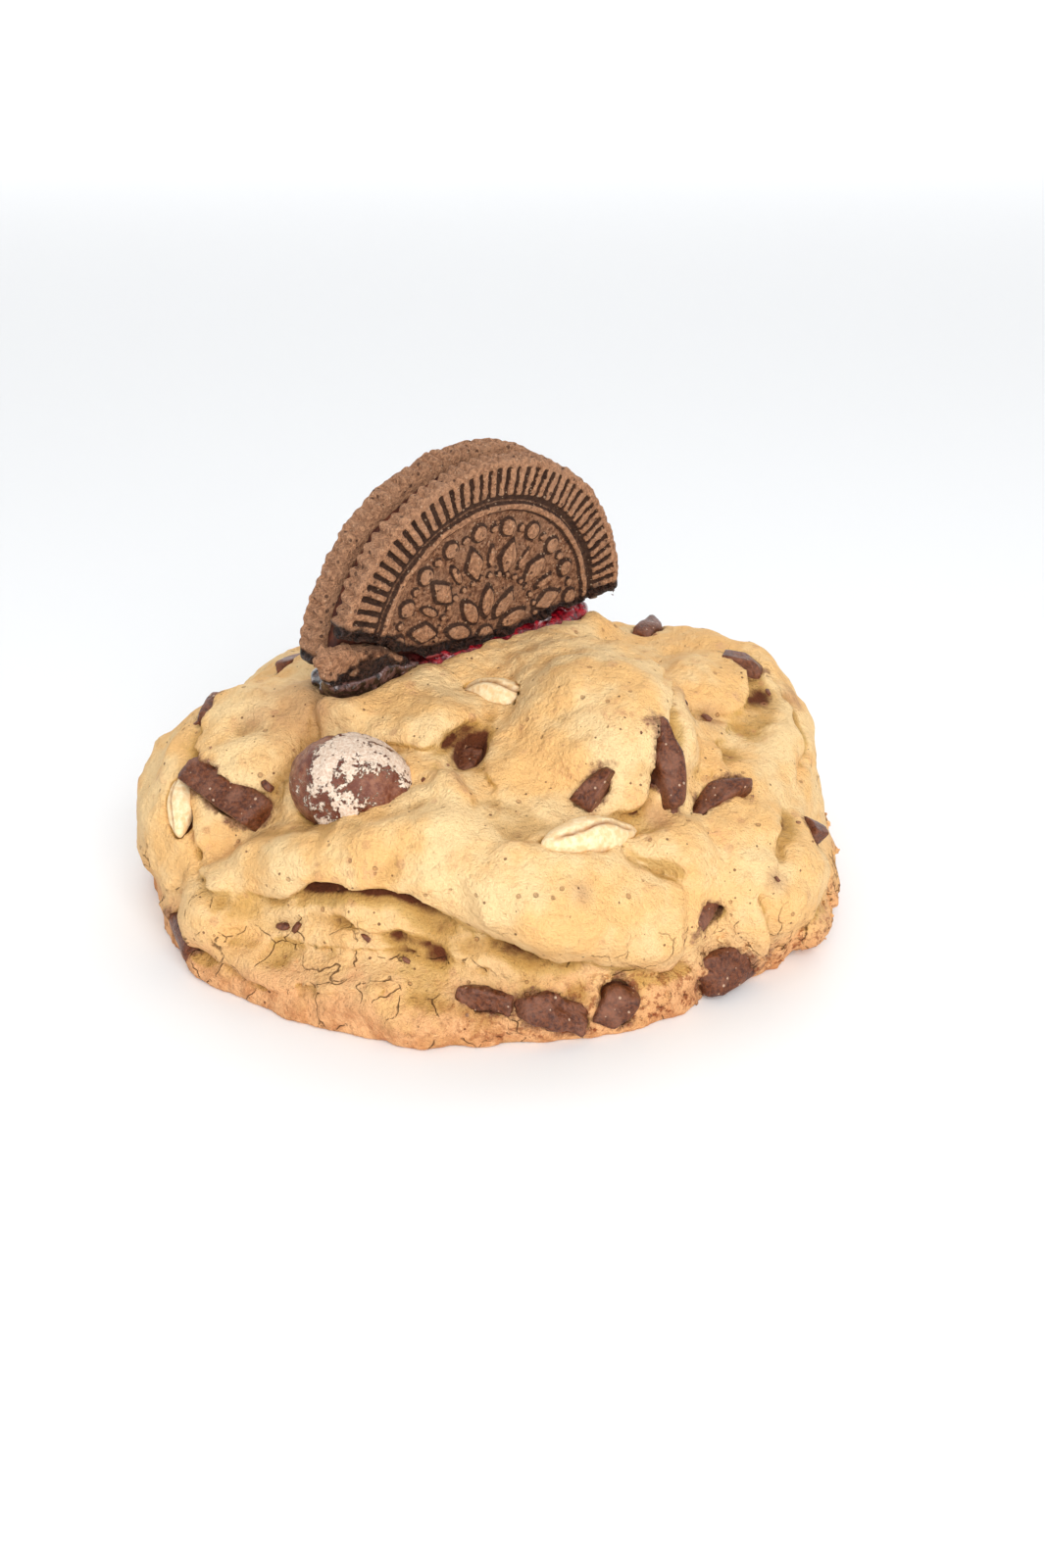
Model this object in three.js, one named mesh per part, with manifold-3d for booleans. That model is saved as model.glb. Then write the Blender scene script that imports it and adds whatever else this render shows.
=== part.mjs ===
// A thick New York-style cookie: a tall mound of folded dough with chocolate chunks, nuts and one floury chocolate
// ball in it, and half a chocolate sandwich biscuit that stands in jam on top.
// Millimetres, +X to the right, +Y to the back, +Z up. The origin is in the middle of the flat underside.
import * as THREE from "three";
import { mergeVertices } from "three/addons/utils/BufferGeometryUtils.js";
import Module from "manifold-3d";

// ---- driving dimensions ----
const COOKIE_RADIUS = 44.4; // of the baked rim
const RIM_HEIGHT = 6.2;
const RIM_ROUNDING = 3.0;
const DOME_RADIUS = 41.6; // the mound inside the rim
const DOME_HEIGHT = 29.2;
const DOME_SQUARENESS = 2.4; // 2 is an ellipsoid, more is boxier
const BISCUIT_RADIUS = 23.0; // the sandwich biscuit is 46 mm across
const WAFER_THICKNESS = 3.0;
const FILLING_THICKNESS = 1.9;
const RIDGES_ROUND = 90; // rim ridges on a whole biscuit
const FIT_GAP = 0.3; // between pieces that touch

const DOUGH_DETAIL = 15; // subdivisions of the icosahedron that the dough is drawn from
const PIECE_DETAIL = 1;

const COLOURS = {
  dough: 0xe8b878,
  wafer: 0x6b4429,
  filling: 0x4a2118,
  jam: 0x5a0c18,
  chocolate: 0x6f3a22,
  floury: 0xb8937f,
  nut: 0xf3d9a8,
};

const wasm = await Module();
wasm.setup();

// ---- small tools ----
const radians = THREE.MathUtils.degToRad;
const vector = (x, y, z) => new THREE.Vector3(x, y, z);
const UP = vector(0, 0, 1);

function smoothMin(a, b, k) {
  const h = Math.max(k - Math.abs(a - b), 0);
  return Math.min(a, b) - (h * h) / (4 * k);
}
const smoothMax = (a, b, k) => -smoothMin(-a, -b, k);

// Three axes at a bearing round the cookie, 0 at the front and 90 on the right: along the side, outwards and up,
// with the first tilted up by slant and the second by lean, in degrees.
function axesAt(turn, slant, lean) {
  const [a, s, l] = [turn, slant, lean].map(radians);
  const along = vector(Math.cos(a), Math.sin(a), 0);
  const out = vector(Math.sin(a), -Math.cos(a), 0);
  const tiltedAlong = along.clone().multiplyScalar(Math.cos(s)).addScaledVector(UP, Math.sin(s));
  const up = UP.clone().multiplyScalar(Math.cos(s)).addScaledVector(along, -Math.sin(s));
  const tiltedOut = out.clone().multiplyScalar(Math.cos(l)).addScaledVector(up, -Math.sin(l));
  const tiltedUp = up.clone().multiplyScalar(Math.cos(l)).addScaledVector(out, Math.sin(l));
  return [tiltedAlong, tiltedOut, tiltedUp];
}

// ---- the dough as a distance: how far a point lies outside it ----
// Lumps of dough: their middle, half sizes (along the side, outwards, up), turn, slant and lean, and how softly
// they run into what is under them.
const LOBES = [
  { name: "back left", at: [-24, 20, 8.5], half: [17, 14, 12.8], turn: -130, blend: 3 },
  { name: "back middle", at: [0, 27, 10.5], half: [17, 15, 13.5], turn: 180, blend: 3 },
  { name: "back right", at: [25, 20, 10.5], half: [16, 15, 13], turn: 140, blend: 3 },
  { name: "crown", at: [2, 8, 15.5], half: [20, 14, 13.5], turn: 0, blend: 4 },
  { name: "left flank", at: [-35, -11, 9], half: [16, 8.5, 12.5], turn: -74, blend: 1.2 },
  { name: "top left", at: [-26, -10, 15.5], half: [15, 14.5, 12.2], turn: -62, lean: 8, blend: 0.9 },
  { name: "top middle", at: [-8, -14, 19], half: [14, 13, 10.3], turn: -15, slant: 6, blend: 1.3 },
  { name: "top", at: [11.6, -10.5, 18.4], half: [14, 20.5, 14.6], turn: 12, lean: -12, blend: 1 },
  { name: "top right", at: [25, -1, 17.5], half: [10, 9.5, 10.6], turn: 75, blend: 1.2 },
  { name: "right middle", at: [25, -16, 14], half: [11, 10, 9], turn: 50, blend: 1.2 },
  { name: "right low", at: [27, -21, 9.5], half: [13, 14, 10], turn: 42, blend: 1.6 },
  { name: "nose", at: [20, -29, 14], half: [5, 7.2, 5.2], turn: 30, blend: 1.2 },
  { name: "right flank", at: [33, -9, 9], half: [17, 8.5, 12], turn: 76, blend: 1.6 },
  { name: "low left", at: [-29.5, -27, 6.5], half: [6.5, 6.5, 7], turn: -44, blend: 1.4 },
  { name: "belly", at: [7, -26.6, 13.4], half: [17, 17.4, 8.8], turn: 8, slant: -16, blend: 1.2 },
  { name: "belly foot", at: [15.5, -31, 9.5], half: [9, 10.5, 7.5], turn: 22, blend: 1.8 },
  { name: "right bump", at: [38, -12, 4], half: [9, 5.5, 6], turn: 76, blend: 1.2 },
  { name: "low right bump", at: [35, -23, 3.2], half: [5.5, 5.5, 4.5], turn: 56, blend: 1.2 },
];

// Rolls of dough, each along a route of points with a radius: [x, y, z, radius].
const ROLLS = [
  { name: "belly left", blend: 1.6, route: [
    [-25, -27.5, 13.3, 4.2], [-15, -31.5, 15.8, 6.2], [-6, -32.5, 16.2, 7.4], [2, -30, 15, 8],
  ] },
  { name: "bridge", blend: 1.4, route: [[-6, -31, 20, 4], [-4.5, -30, 22.3, 3], [-4.5, -28, 24.8, 2]] },
  { name: "right ring", blend: 1.6, route: [
    [14, 18, 16.5, 9], [28.5, 8.5, 18.8, 9.4], [32, -2, 17, 9], [30, -12, 12.5, 8.2], [26, -21, 10, 7],
  ] },
  { name: "upper fold", blend: 1.2, route: [
    [-25, -29, 8, 4.3], [-14, -33.3, 8.4, 5.2], [-4, -36, 7.4, 5.4], [2, -37, 6, 5],
  ] },
  { name: "jam collar", blend: 2.6, route: [
    [-20.5, -9, 26, 2], [-20.5, -14, 26.6, 2.2], [-17.5, -17, 27, 2.2], [-12, -14, 27.2, 1.9],
    [-5.7, -8.2, 27.4, 1.8], [1, -2.2, 27.8, 1.8], [8.6, 4.3, 28, 2], [13, 8, 27.4, 2.6],
  ] },
  { name: "lower fold", blend: 0.9, route: [[-8, -35.2, 9.4, 4], [0, -37.8, 8.2, 4], [9, -37.9, 7.2, 3.4]] },
];

// Creases between the lumps, as wedges that run into the dough along bearings on its surface, seen from HEART:
// [azimuth, elevation, half width], in degrees and millimetres. lean is how far the wedge runs in under what lies to
// the left of its line, in degrees, and edge how round its two edges are.
const HEART = vector(0, 0, 8);
const CREASES = [
  { name: "top left edge", depth: 2.6, lean: -20, edge: 1.2, route: [
    [-56, 44, 0.2], [-52, 38, 0.8], [-48, 31, 1.1], [-47, 24, 1.1], [-47, 18, 0.7],
  ] },
  { name: "left lobe edge", depth: 2.4, lean: 25, edge: 1.3, route: [
    [-72, 24, 0.2], [-62, 18.5, 0.8], [-54, 16, 0.9], [-47, 18, 0.7],
  ] },
  { name: "upper lip", depth: 2.8, lean: 25, edge: 1, route: [
    [-42, 30, 0.2], [-34, 33, 0.7], [-24, 34, 0.7], [-16, 34, 0.8], [-10, 38, 1.1], [-5, 41, 1.1],
    [0, 46, 0.7], [4, 50, 0.2],
  ] },
  { name: "cleft", depth: 5.2, lean: 0, edge: 0.7, route: [
    [3, 50, 0.2], [-0.5, 43, 0.9], [-4, 38.5, 1.9], [-5.5, 36, 2.2], [-4.6, 33.4, 0.8],
  ] },
  { name: "top lower edge", depth: 3, lean: 25, edge: 1, route: [
    [-2, 33, 0.5], [-0.5, 29, 0.8], [3, 25, 0.9], [8, 22, 0.9], [13, 20.4, 0.8], [22, 19, 0.7],
    [30, 19.6, 0.7], [34, 21, 0.2],
  ] },
  { name: "top right edge", depth: 3, lean: -25, edge: 1.1, route: [
    [100, 46, 0.2], [75, 43, 0.7], [56, 39, 0.8], [47, 34, 0.9], [43, 29, 0.9], [36, 24.5, 0.9],
    [31, 20, 0.5],
  ] },
  { name: "top right hollow", depth: 3.6, lean: -10, edge: 1, route: [
    [102, 35, 0.2], [93, 31, 0.9], [85, 27, 1.2], [76, 24.5, 1.2], [66, 24, 0.9], [57, 22, 0.7],
    [52, 18, 0.4],
  ] },
  { name: "top right shelf", depth: 2, lean: -10, edge: 1.1, route: [
    [58, 36, 0.2], [65, 32.5, 0.8], [71, 29, 0.8], [76, 24.5, 0.5],
  ] },
  { name: "belly upper edge", depth: 1, lean: 0, edge: 2.7, route: [
    [-52, 11, 0.4], [-46, 14.5, 0.8], [-35, 18.5, 0.9], [-26, 21, 0.9], [-17, 23.5, 0.8], [-10, 26, 0.4],
  ] },
  { name: "belly right edge", depth: 2.8, lean: -15, edge: 1, route: [
    [24, 17, 0.7], [25, 13.8, 1.2], [29.6, 11.5, 0.9], [31.8, 9, 0.8], [31.2, 6, 0.7], [30, 2, 0.7],
    [30, -4.8, 0.4],
  ] },
  { name: "deep fold", depth: 4.8, lean: 42, edge: 1.1, route: [
    [-44, 4.2, 0.2], [-39, 3.6, 0.7], [-34, 4, 0.8], [-29, 6, 1.1], [-24, 7.6, 1.2], [-19.5, 8.2, 1.2],
    [-13, 7.8, 1.1], [-8.5, 6, 0.9], [-4.3, 3.1, 0.9], [0.4, 1.2, 1.1], [5.7, 0.2, 1.1], [10.5, -1, 0.9],
    [14.4, -3, 0.7], [21, -4.4, 0.5], [29, -5.4, 0.4],
  ] },
  { name: "upper fold line", depth: 2.6, lean: 25, edge: 0.9, route: [
    [-42, -1.6, 0.2], [-34, 0.8, 0.7], [-26, 2.8, 0.7], [-16, 2.9, 0.7], [-9.7, 1.6, 0.7], [-4, -0.7, 0.7],
    [2.6, -1.9, 0.7], [8, -3.4, 0.4],
  ] },
  { name: "layer line", depth: 1.8, lean: 20, edge: 1, route: [
    [-34, -2, 0.2], [-26, -1.9, 0.5], [-19, -0.3, 0.5], [-12, 0, 0.5], [-6.7, -1, 0.5], [-2, -2.4, 0.2],
  ] },
  { name: "rim line", depth: 2, lean: 15, edge: 1.1, route: [
    [-56, -4, 0.2], [-44, -5.8, 0.7], [-36, -7, 0.7], [-29, -6.2, 0.7], [-21, -4.8, 0.7], [-10.6, -3.2, 0.7],
    [-3.6, -3, 0.4],
  ] },
  { name: "rim line right", depth: 2.2, lean: 15, edge: 1.1, route: [
    [2, -4.3, 0.2], [9.7, -4.8, 0.7], [17, -4.6, 0.8], [25, -4.2, 0.8], [33, -5.2, 0.4],
  ] },
  { name: "right crease", depth: 2.2, lean: 10, edge: 1.4, route: [
    [92, 27, 0.2], [82, 18, 0.8], [70, 13.5, 0.9], [54, 12, 0.8], [45, 7, 0.4],
  ] },
  { name: "left crease", depth: 2.4, lean: -15, edge: 1.2, route: [
    [-62, 16, 0.2], [-56, 9.6, 0.8], [-53, 6.5, 0.9], [-49, 4.5, 0.8], [-43, 3.8, 0.5],
  ] },
  { name: "right bump crease", depth: 2.2, lean: 15, edge: 1.2, route: [
    [80, 6, 0.2], [64, 4, 0.9], [52, -4, 0.4],
  ] },
  { name: "low bump crease", depth: 2.2, lean: 0, edge: 1.2, route: [
    [42, 5, 0.2], [44, -1, 0.9], [48, -8, 0.5],
  ] },
  { name: "back fold left", depth: 2.6, lean: 20, edge: 2.2, route: [
    [-75, 52, 0.2], [-105, 48, 1.1], [-135, 42, 1.2], [-150, 30, 1.1], [-152, 15, 0.4],
  ] },
  { name: "back fold right", depth: 2.4, lean: -20, edge: 2.2, route: [
    [128, 58, 0.2], [140, 45, 1.1], [150, 28, 1.2], [148, 10, 0.4],
  ] },
  { name: "back deep fold", depth: 4, lean: -35, edge: 1.7, route: [
    [162, 8, 0.4], [176, 14, 1.1], [195, 16, 1.2], [212, 12, 1.1], [224, 8, 0.4],
  ] },
  { name: "right back fold", depth: 2.2, lean: -15, edge: 2, route: [
    [98, 6, 0.4], [112, 11, 1.1], [130, 9, 0.4],
  ] },
  { name: "left back fold", depth: 2.2, lean: 15, edge: 2, route: [
    [-98, 6, 0.4], [-116, 11, 1.1], [-138, 7, 0.4],
  ] },
];

// Waves in many directions, whose sum makes the dough gently uneven all over.
const WAVES = 12;
const WAVE_HEIGHT = 0.11;
const SHORTEST_WAVE = 9;
const LONGEST_WAVE = 19;
const GOLDEN_ANGLE = Math.PI * (3 - Math.sqrt(5));

function waveList() {
  return Array.from({ length: WAVES }, (_, i) => {
    const z = 1 - (2 * (i + 0.5)) / WAVES;
    const across = Math.sqrt(1 - z * z);
    const length = SHORTEST_WAVE + (LONGEST_WAVE - SHORTEST_WAVE) * ((i * 0.618) % 1);
    const direction = vector(across * Math.cos(GOLDEN_ANGLE * i), across * Math.sin(GOLDEN_ANGLE * i), z);
    return { direction: direction.multiplyScalar((2 * Math.PI) / length), phase: 2.4 * i };
  });
}
const waves = waveList();
const unevenness = (p) => waves.reduce((sum, w) => sum + WAVE_HEIGHT * Math.sin(w.direction.dot(p) + w.phase), 0);

function domeDistance(p) {
  const n = DOME_SQUARENESS;
  const across = (Math.hypot(p.x, p.y) + 1e-9) / DOME_RADIUS;
  const high = (Math.abs(p.z) + 1e-9) / DOME_HEIGHT;
  const k = (across ** n + high ** n) ** (1 / n);
  const slope = k ** (1 - n) * Math.hypot(across ** (n - 1) / DOME_RADIUS, high ** (n - 1) / DOME_HEIGHT);
  return (k - 1) / slope;
}

// The rim is a thick disc with a round edge, whose outline wanders by up to 1.5 mm.
function rimDistance(p) {
  const a = Math.atan2(p.x, -p.y);
  const wander = 0.6 * Math.cos(a) - 0.24 * Math.sin(a) + 0.5 * Math.cos(2 * a + 0.6) + 0.55 * Math.cos(3 * a + 1)
    + 0.35 * Math.cos(7 * a) + 0.25 * Math.cos(11 * a + 2);
  const out = Math.hypot(p.x, p.y) - (COOKIE_RADIUS + wander - RIM_ROUNDING);
  const up = Math.abs(p.z - RIM_HEIGHT / 3) - ((RIM_HEIGHT * 2) / 3 - RIM_ROUNDING);
  return Math.hypot(Math.max(out, 0), Math.max(up, 0)) + Math.min(Math.max(out, up), 0) - RIM_ROUNDING;
}

function lobeDistance(lobe, p) {
  const q = p.clone().sub(lobe.middle);
  const local = lobe.axes.map((axis) => axis.dot(q));
  const k0 = Math.hypot(...local.map((v, i) => v / lobe.half[i]));
  const k1 = Math.hypot(...local.map((v, i) => v / lobe.half[i] ** 2));
  return (k0 * (k0 - 1)) / Math.max(k1, 1e-9);
}

// A smooth curve through points, each with a width and a direction, as short straight stretches.
function stretches(places, steps) {
  const curve = new THREE.CatmullRomCurve3(places.map(({ point }) => point), false, "catmullrom", 0.5);
  const fine = curve.getPoints(steps * (places.length - 1)).map((point, i) => {
    const k = Math.min(Math.floor(i / steps), places.length - 2);
    const [start, end, t] = [places[k], places[k + 1], i / steps - k];
    const inward = start.inward.clone().lerp(end.inward, t);
    return { point, width: THREE.MathUtils.lerp(start.width, end.width, t), inward };
  });
  return fine.slice(1).map((to, i) => ({ from: fine[i], to, along: to.point.clone().sub(fine[i].point) }));
}

// For each stretch: how far a point lies beside it, and the width and direction of the route there.
function beside(route, p) {
  return route.map(({ from, to, along }) => {
    const offset = p.clone().sub(from.point);
    const t = THREE.MathUtils.clamp(offset.dot(along) / along.lengthSq(), 0, 1);
    return {
      offset: offset.addScaledVector(along, -t),
      width: THREE.MathUtils.lerp(from.width, to.width, t),
      inward: from.inward.clone().lerp(to.inward, t),
    };
  });
}

const rollDistance = (route, p) =>
  Math.min(...beside(route, p).map(({ offset, width }) => offset.length() - width));

// The distance to a wedge whose depth is slope times its half width.
function wedgeDistance(route, slope, p) {
  return Math.min(...beside(route, p).map(({ offset, width, inward }) => {
    const deep = offset.dot(inward);
    const aside = offset.clone().addScaledVector(inward, -deep).length();
    const opening = width * THREE.MathUtils.clamp(1 - deep / (slope * width), 0, 1.5);
    return Math.hypot(aside, Math.max(deep - slope * width, 0)) - opening;
  }));
}

const lobes = LOBES.map((lobe) => ({
  ...lobe,
  middle: vector(...lobe.at),
  axes: axesAt(lobe.turn, lobe.slant ?? 0, lobe.lean ?? 0),
}));
const rolls = ROLLS.map(({ route, blend }) => ({
  blend,
  route: stretches(route.map(([x, y, z, width]) => ({ point: vector(x, y, z), width, inward: UP })), 4),
}));

function smoothDough(p) {
  let d = smoothMin(domeDistance(p), rimDistance(p), 2.5);
  for (const lobe of lobes) d = smoothMin(d, lobeDistance(lobe, p), lobe.blend);
  for (const roll of rolls) d = smoothMin(d, rollDistance(roll.route, p), roll.blend);
  return d;
}

// The place where the line from HEART at a bearing leaves the dough, and the direction out of the dough there.
const FAR = 62;
const CLOSE = 0.01;
function meet(distance, ray) {
  const p = ray.clone().multiplyScalar(FAR).add(HEART);
  for (let i = 0; i < 80; i++) {
    const d = distance(p);
    if (Math.abs(d) < CLOSE) break;
    p.addScaledVector(ray, -0.85 * d);
  }
  return p;
}

function seat(azimuth, elevation) {
  const [a, e] = [radians(azimuth), radians(elevation)];
  const ray = vector(Math.sin(a) * Math.cos(e), -Math.cos(a) * Math.cos(e), Math.sin(e));
  const point = meet(smoothDough, ray);
  const slope = (axis) => {
    const step = vector(0, 0, 0).setComponent(axis, 0.4);
    return smoothDough(point.clone().add(step)) - smoothDough(point.clone().sub(step));
  };
  return { point, ray, out: vector(slope(0), slope(1), slope(2)).normalize() };
}

// The solid's facets are about 3 mm wide, so its creases are widened, and made no deeper than they are wide.
const WIDENING = 0.9;
const FACET_EDGE = 0.6;
const creases = CREASES.map(({ route, depth, lean, edge }) => {
  const seats = route.map(([azimuth, elevation]) => seat(azimuth, elevation));
  const places = seats.map(({ point, ray }, i) => {
    const ahead = seats[Math.min(i + 1, seats.length - 1)].point.clone().sub(seats[Math.max(i - 1, 0)].point);
    const left = vector(0, 0, 0).crossVectors(ray, ahead).normalize();
    const inward = left.multiplyScalar(Math.sin(radians(lean))).addScaledVector(ray, -Math.cos(radians(lean)));
    return { point, width: route[i][2] + WIDENING * Math.min(route[i][2], 1), inward };
  });
  const widest = Math.max(...places.map(({ width }) => width));
  return { edge: edge + FACET_EDGE, slope: Math.min(depth / widest, 1.1), route: stretches(places, 3) };
});

function doughDistance(p) {
  let d = smoothDough(p) + unevenness(p);
  for (const crease of creases) d = smoothMax(d, -wedgeDistance(crease.route, crease.slope, p), crease.edge);
  return d;
}

// ---- solids ----
function merged(geometry) {
  const bare = geometry.clone();
  bare.deleteAttribute("normal");
  bare.deleteAttribute("uv");
  return mergeVertices(bare, 1e-4);
}

function solidOf(geometry) {
  const shape = merged(geometry);
  return new wasm.Manifold(
    new wasm.Mesh({
      numProp: 3,
      vertProperties: shape.attributes.position.array,
      triVerts: new Uint32Array(shape.index.array),
    }),
  );
}

function geometryOf(solid) {
  const mesh = solid.getMesh();
  const positions = new Float32Array(mesh.numVert * 3);
  for (let i = 0; i < mesh.numVert; i++) {
    positions.set(mesh.vertProperties.subarray(i * mesh.numProp, i * mesh.numProp + 3), 3 * i);
  }
  const geometry = new THREE.BufferGeometry();
  geometry.setAttribute("position", new THREE.BufferAttribute(positions, 3));
  geometry.setIndex(new THREE.BufferAttribute(mesh.triVerts, 1));
  geometry.computeVertexNormals();
  return geometry;
}

function mapVertices(source, move) {
  const geometry = merged(source);
  const position = geometry.attributes.position;
  for (let i = 0; i < position.count; i++) {
    const p = move(vector(0, 0, 0).fromBufferAttribute(position, i));
    position.setXYZ(i, p.x, p.y, p.z);
  }
  return geometry;
}

// Every vertex of a ball round the cookie is drawn in towards HEART until it meets the dough, and what is under the
// floor is cut off flat.
const BALL_RADIUS = 50;
const BALL_HEIGHT = 26;
const BALL_MIDDLE = vector(0, 0, 14);
function doughSolid() {
  const skin = mapVertices(new THREE.IcosahedronGeometry(1, DOUGH_DETAIL), (v) => {
    const outside = v.clone().multiply(vector(BALL_RADIUS, BALL_RADIUS, BALL_HEIGHT)).add(BALL_MIDDLE);
    const ray = outside.sub(HEART).normalize();
    return meet(doughDistance, ray);
  });
  const floor = new THREE.BoxGeometry(200, 200, 80).translate(0, 0, -40);
  return solidOf(skin).subtract(solidOf(floor));
}

// ---- what is in the dough ----
// Chunks and nuts at a bearing of the dough: full sizes [long, high, deep], turned about the way out of the dough,
// with the middle out of the dough by out. taper is how much wider the far end of its length is than the middle.
const CHOCOLATE = "chocolate";
const NUT = "nut";
const PIECES = [
  { name: "chocolate_slab_left", look: CHOCOLATE, at: [-54, 17], size: [12.5, 4.6, 5], turn: -20, out: -1.8 },
  { name: "chocolate_top_right", look: CHOCOLATE, at: [39.5, 27.5], size: [10.4, 3.8, 5],
    turn: 84, out: -1.8, taper: -0.5 },
  { name: "chocolate_right_sliver", look: CHOCOLATE, at: [47.5, 18.5], size: [9.5, 3.2, 5],
    turn: 30, out: -1.8, taper: 0.4 },
  { name: "chocolate_top_sliver", look: CHOCOLATE, at: [22, 26], size: [5.6, 2.3, 3],
    turn: 62, out: -0.8, taper: -0.5 },
  { name: "chocolate_right_low", look: CHOCOLATE, at: [35.4, 3.8], size: [7.4, 3.6, 4], turn: 20, out: -1.2 },
  { name: "chocolate_rim_right", look: CHOCOLATE, at: [40, -6.4], size: [10.6, 5.2, 5.2], turn: 6, out: -1.3 },
  { name: "chocolate_rim_front", look: CHOCOLATE, at: [19, -6.4], size: [5, 4.2, 4.6], turn: 60, out: -1.5 },
  { name: "chocolate_smear_front", look: CHOCOLATE, at: [9.4, -5.2], size: [7.4, 3.6, 3],
    turn: -30, out: -0.8 },
  { name: "chocolate_smear_middle", look: CHOCOLATE, at: [0.2, -2.6], size: [6.4, 1.6, 2.4],
    turn: -24, out: -0.4 },
  { name: "chocolate_right_side", look: CHOCOLATE, at: [61, 8.5], size: [3.4, 2.8, 3], turn: 30, out: -0.8 },
  { name: "chocolate_far_right", look: CHOCOLATE, at: [92, 31], size: [5.8, 2.8, 3.6], turn: -40, out: -1.1 },
  { name: "chocolate_skyline_right", look: CHOCOLATE, at: [124, 37], size: [7, 2.6, 3.4], turn: 10, out: -0.8 },
  { name: "chocolate_skyline_left", look: CHOCOLATE, at: [-112, 27], size: [5.6, 3, 3.4], turn: 15, out: -0.8 },
  { name: "chocolate_left_edge", look: CHOCOLATE, at: [-74, 26], size: [5, 2.2, 3], turn: -30, out: -0.8 },
  { name: "chocolate_rim_left", look: CHOCOLATE, at: [-54, -5.6], size: [9, 3.6, 4.2], turn: -8, out: -1.4 },
  { name: "chocolate_cleft", look: CHOCOLATE, at: [-5, 36.6], size: [6.4, 3.2, 4],
    turn: 58, out: -4.2, taper: -0.3 },
  { name: "chocolate_back_high", look: CHOCOLATE, at: [172, 38], size: [10, 5.4, 5.5],
    turn: 25, out: -2, taper: 0.3 },
  { name: "chocolate_back_right", look: CHOCOLATE, at: [142, 17], size: [8, 4.4, 5], turn: -35, out: -1.8 },
  { name: "chocolate_back_rim", look: CHOCOLATE, at: [186, -5], size: [9, 4, 4.6], turn: 3, out: -1.5 },
  { name: "chocolate_back_left", look: CHOCOLATE, at: [-138, 22], size: [9, 4.6, 5],
    turn: 40, out: -1.8, taper: -0.3 },
  { name: "chocolate_back_rim_right", look: CHOCOLATE, at: [118, -5.5], size: [7, 3.6, 4.6],
    turn: -6, out: -1.5 },
  { name: "nut_left", look: NUT, at: [-60.5, 12.6], size: [7.8, 3.2, 3.6], turn: -58, out: -0.9, taper: 0.1 },
  { name: "nut_middle", look: NUT, at: [18.5, 19.2], size: [12.4, 4.4, 5], turn: -22, out: -0.9, taper: 0.1 },
  { name: "nut_top", look: NUT, at: [4, 60], size: [10, 5, 4.4], turn: 26, out: -1.4, taper: 0.1 },
  { name: "nut_back", look: NUT, at: [205, 30], size: [10.5, 4.6, 4.6], turn: -30, out: -1.4, taper: 0.1 },
];
const BALL = { name: "chocolate_ball", look: "floury", at: [-31, 25.6], size: [15, 11.4, 12], turn: 2, out: -0.8 };

// A rough lump that fills a box of the given full sizes: chunks bulge at their corners, and nuts narrow to one end.
function lumpGeometry({ look, size, taper = 0 }, detail, seed, clearance) {
  return mapVertices(new THREE.IcosahedronGeometry(1, detail), (v) => {
    const waved = 0.07 * Math.sin(4 * v.x + seed) * Math.sin(3.4 * v.y + 2 * seed);
    const rough = 1 + waved + 0.05 * Math.sin(5 * v.z + seed);
    const longest = Math.max(Math.abs(v.x), Math.abs(v.y), Math.abs(v.z));
    const corner = look === CHOCOLATE ? 0.24 * (1 - longest ** 4) : 0;
    const across = look === NUT ? 1 - 0.3 * v.x * v.x - taper * v.x : 1 + taper * v.x;
    const half = size.map((s) => s / 2 + clearance);
    return vector(v.x * half[0], v.y * half[1] * across, v.z * half[2] * across).multiplyScalar(rough + corner);
  });
}

function placement({ at, turn, out }) {
  const place = seat(...at);
  const side = vector(0, 0, 0).crossVectors(UP, place.out).normalize();
  const high = vector(0, 0, 0).crossVectors(place.out, side);
  const long = side.clone().multiplyScalar(Math.cos(radians(turn))).addScaledVector(high, Math.sin(radians(turn)));
  const across = vector(0, 0, 0).crossVectors(place.out, long);
  const middle = place.point.addScaledVector(place.out, out);
  return new THREE.Matrix4().makeBasis(long, across, place.out).setPosition(middle);
}

// ---- the half sandwich biscuit ----
// It is made flat: X along the broken edge, Y up the biscuit, Z out of the front wafer's face, and then stood up.
const BISCUIT_FOOT = vector(-0.44, -0.57, 30.9); // the middle of the broken edge of the front face
const BISCUIT_TURN = 41.5; // degrees from facing front
const BISCUIT_LEAN = 7.7; // degrees towards the front at the top
const RIDGE_INNER = 18.3;
const RELIEF = 0.6; // height of ridges, ring and ornament over the wafer's field
const SERRATION = 0.5;
const PLAIN_STEPS = 30; // sides of a half round without teeth

const biscuitPlace = new THREE.Matrix4()
  .makeTranslation(BISCUIT_FOOT)
  .multiply(new THREE.Matrix4().makeRotationZ(radians(BISCUIT_TURN)))
  .multiply(new THREE.Matrix4().makeRotationX(radians(90 + BISCUIT_LEAN)));

const point2 = ([x, y]) => new THREE.Vector2(x, y);
const shapeOf = (outline) => new THREE.Shape(outline.map(point2));
function polar(radius, degrees) {
  return new THREE.Vector2(Math.cos(radians(degrees)), Math.sin(radians(degrees))).multiplyScalar(radius);
}

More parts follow.
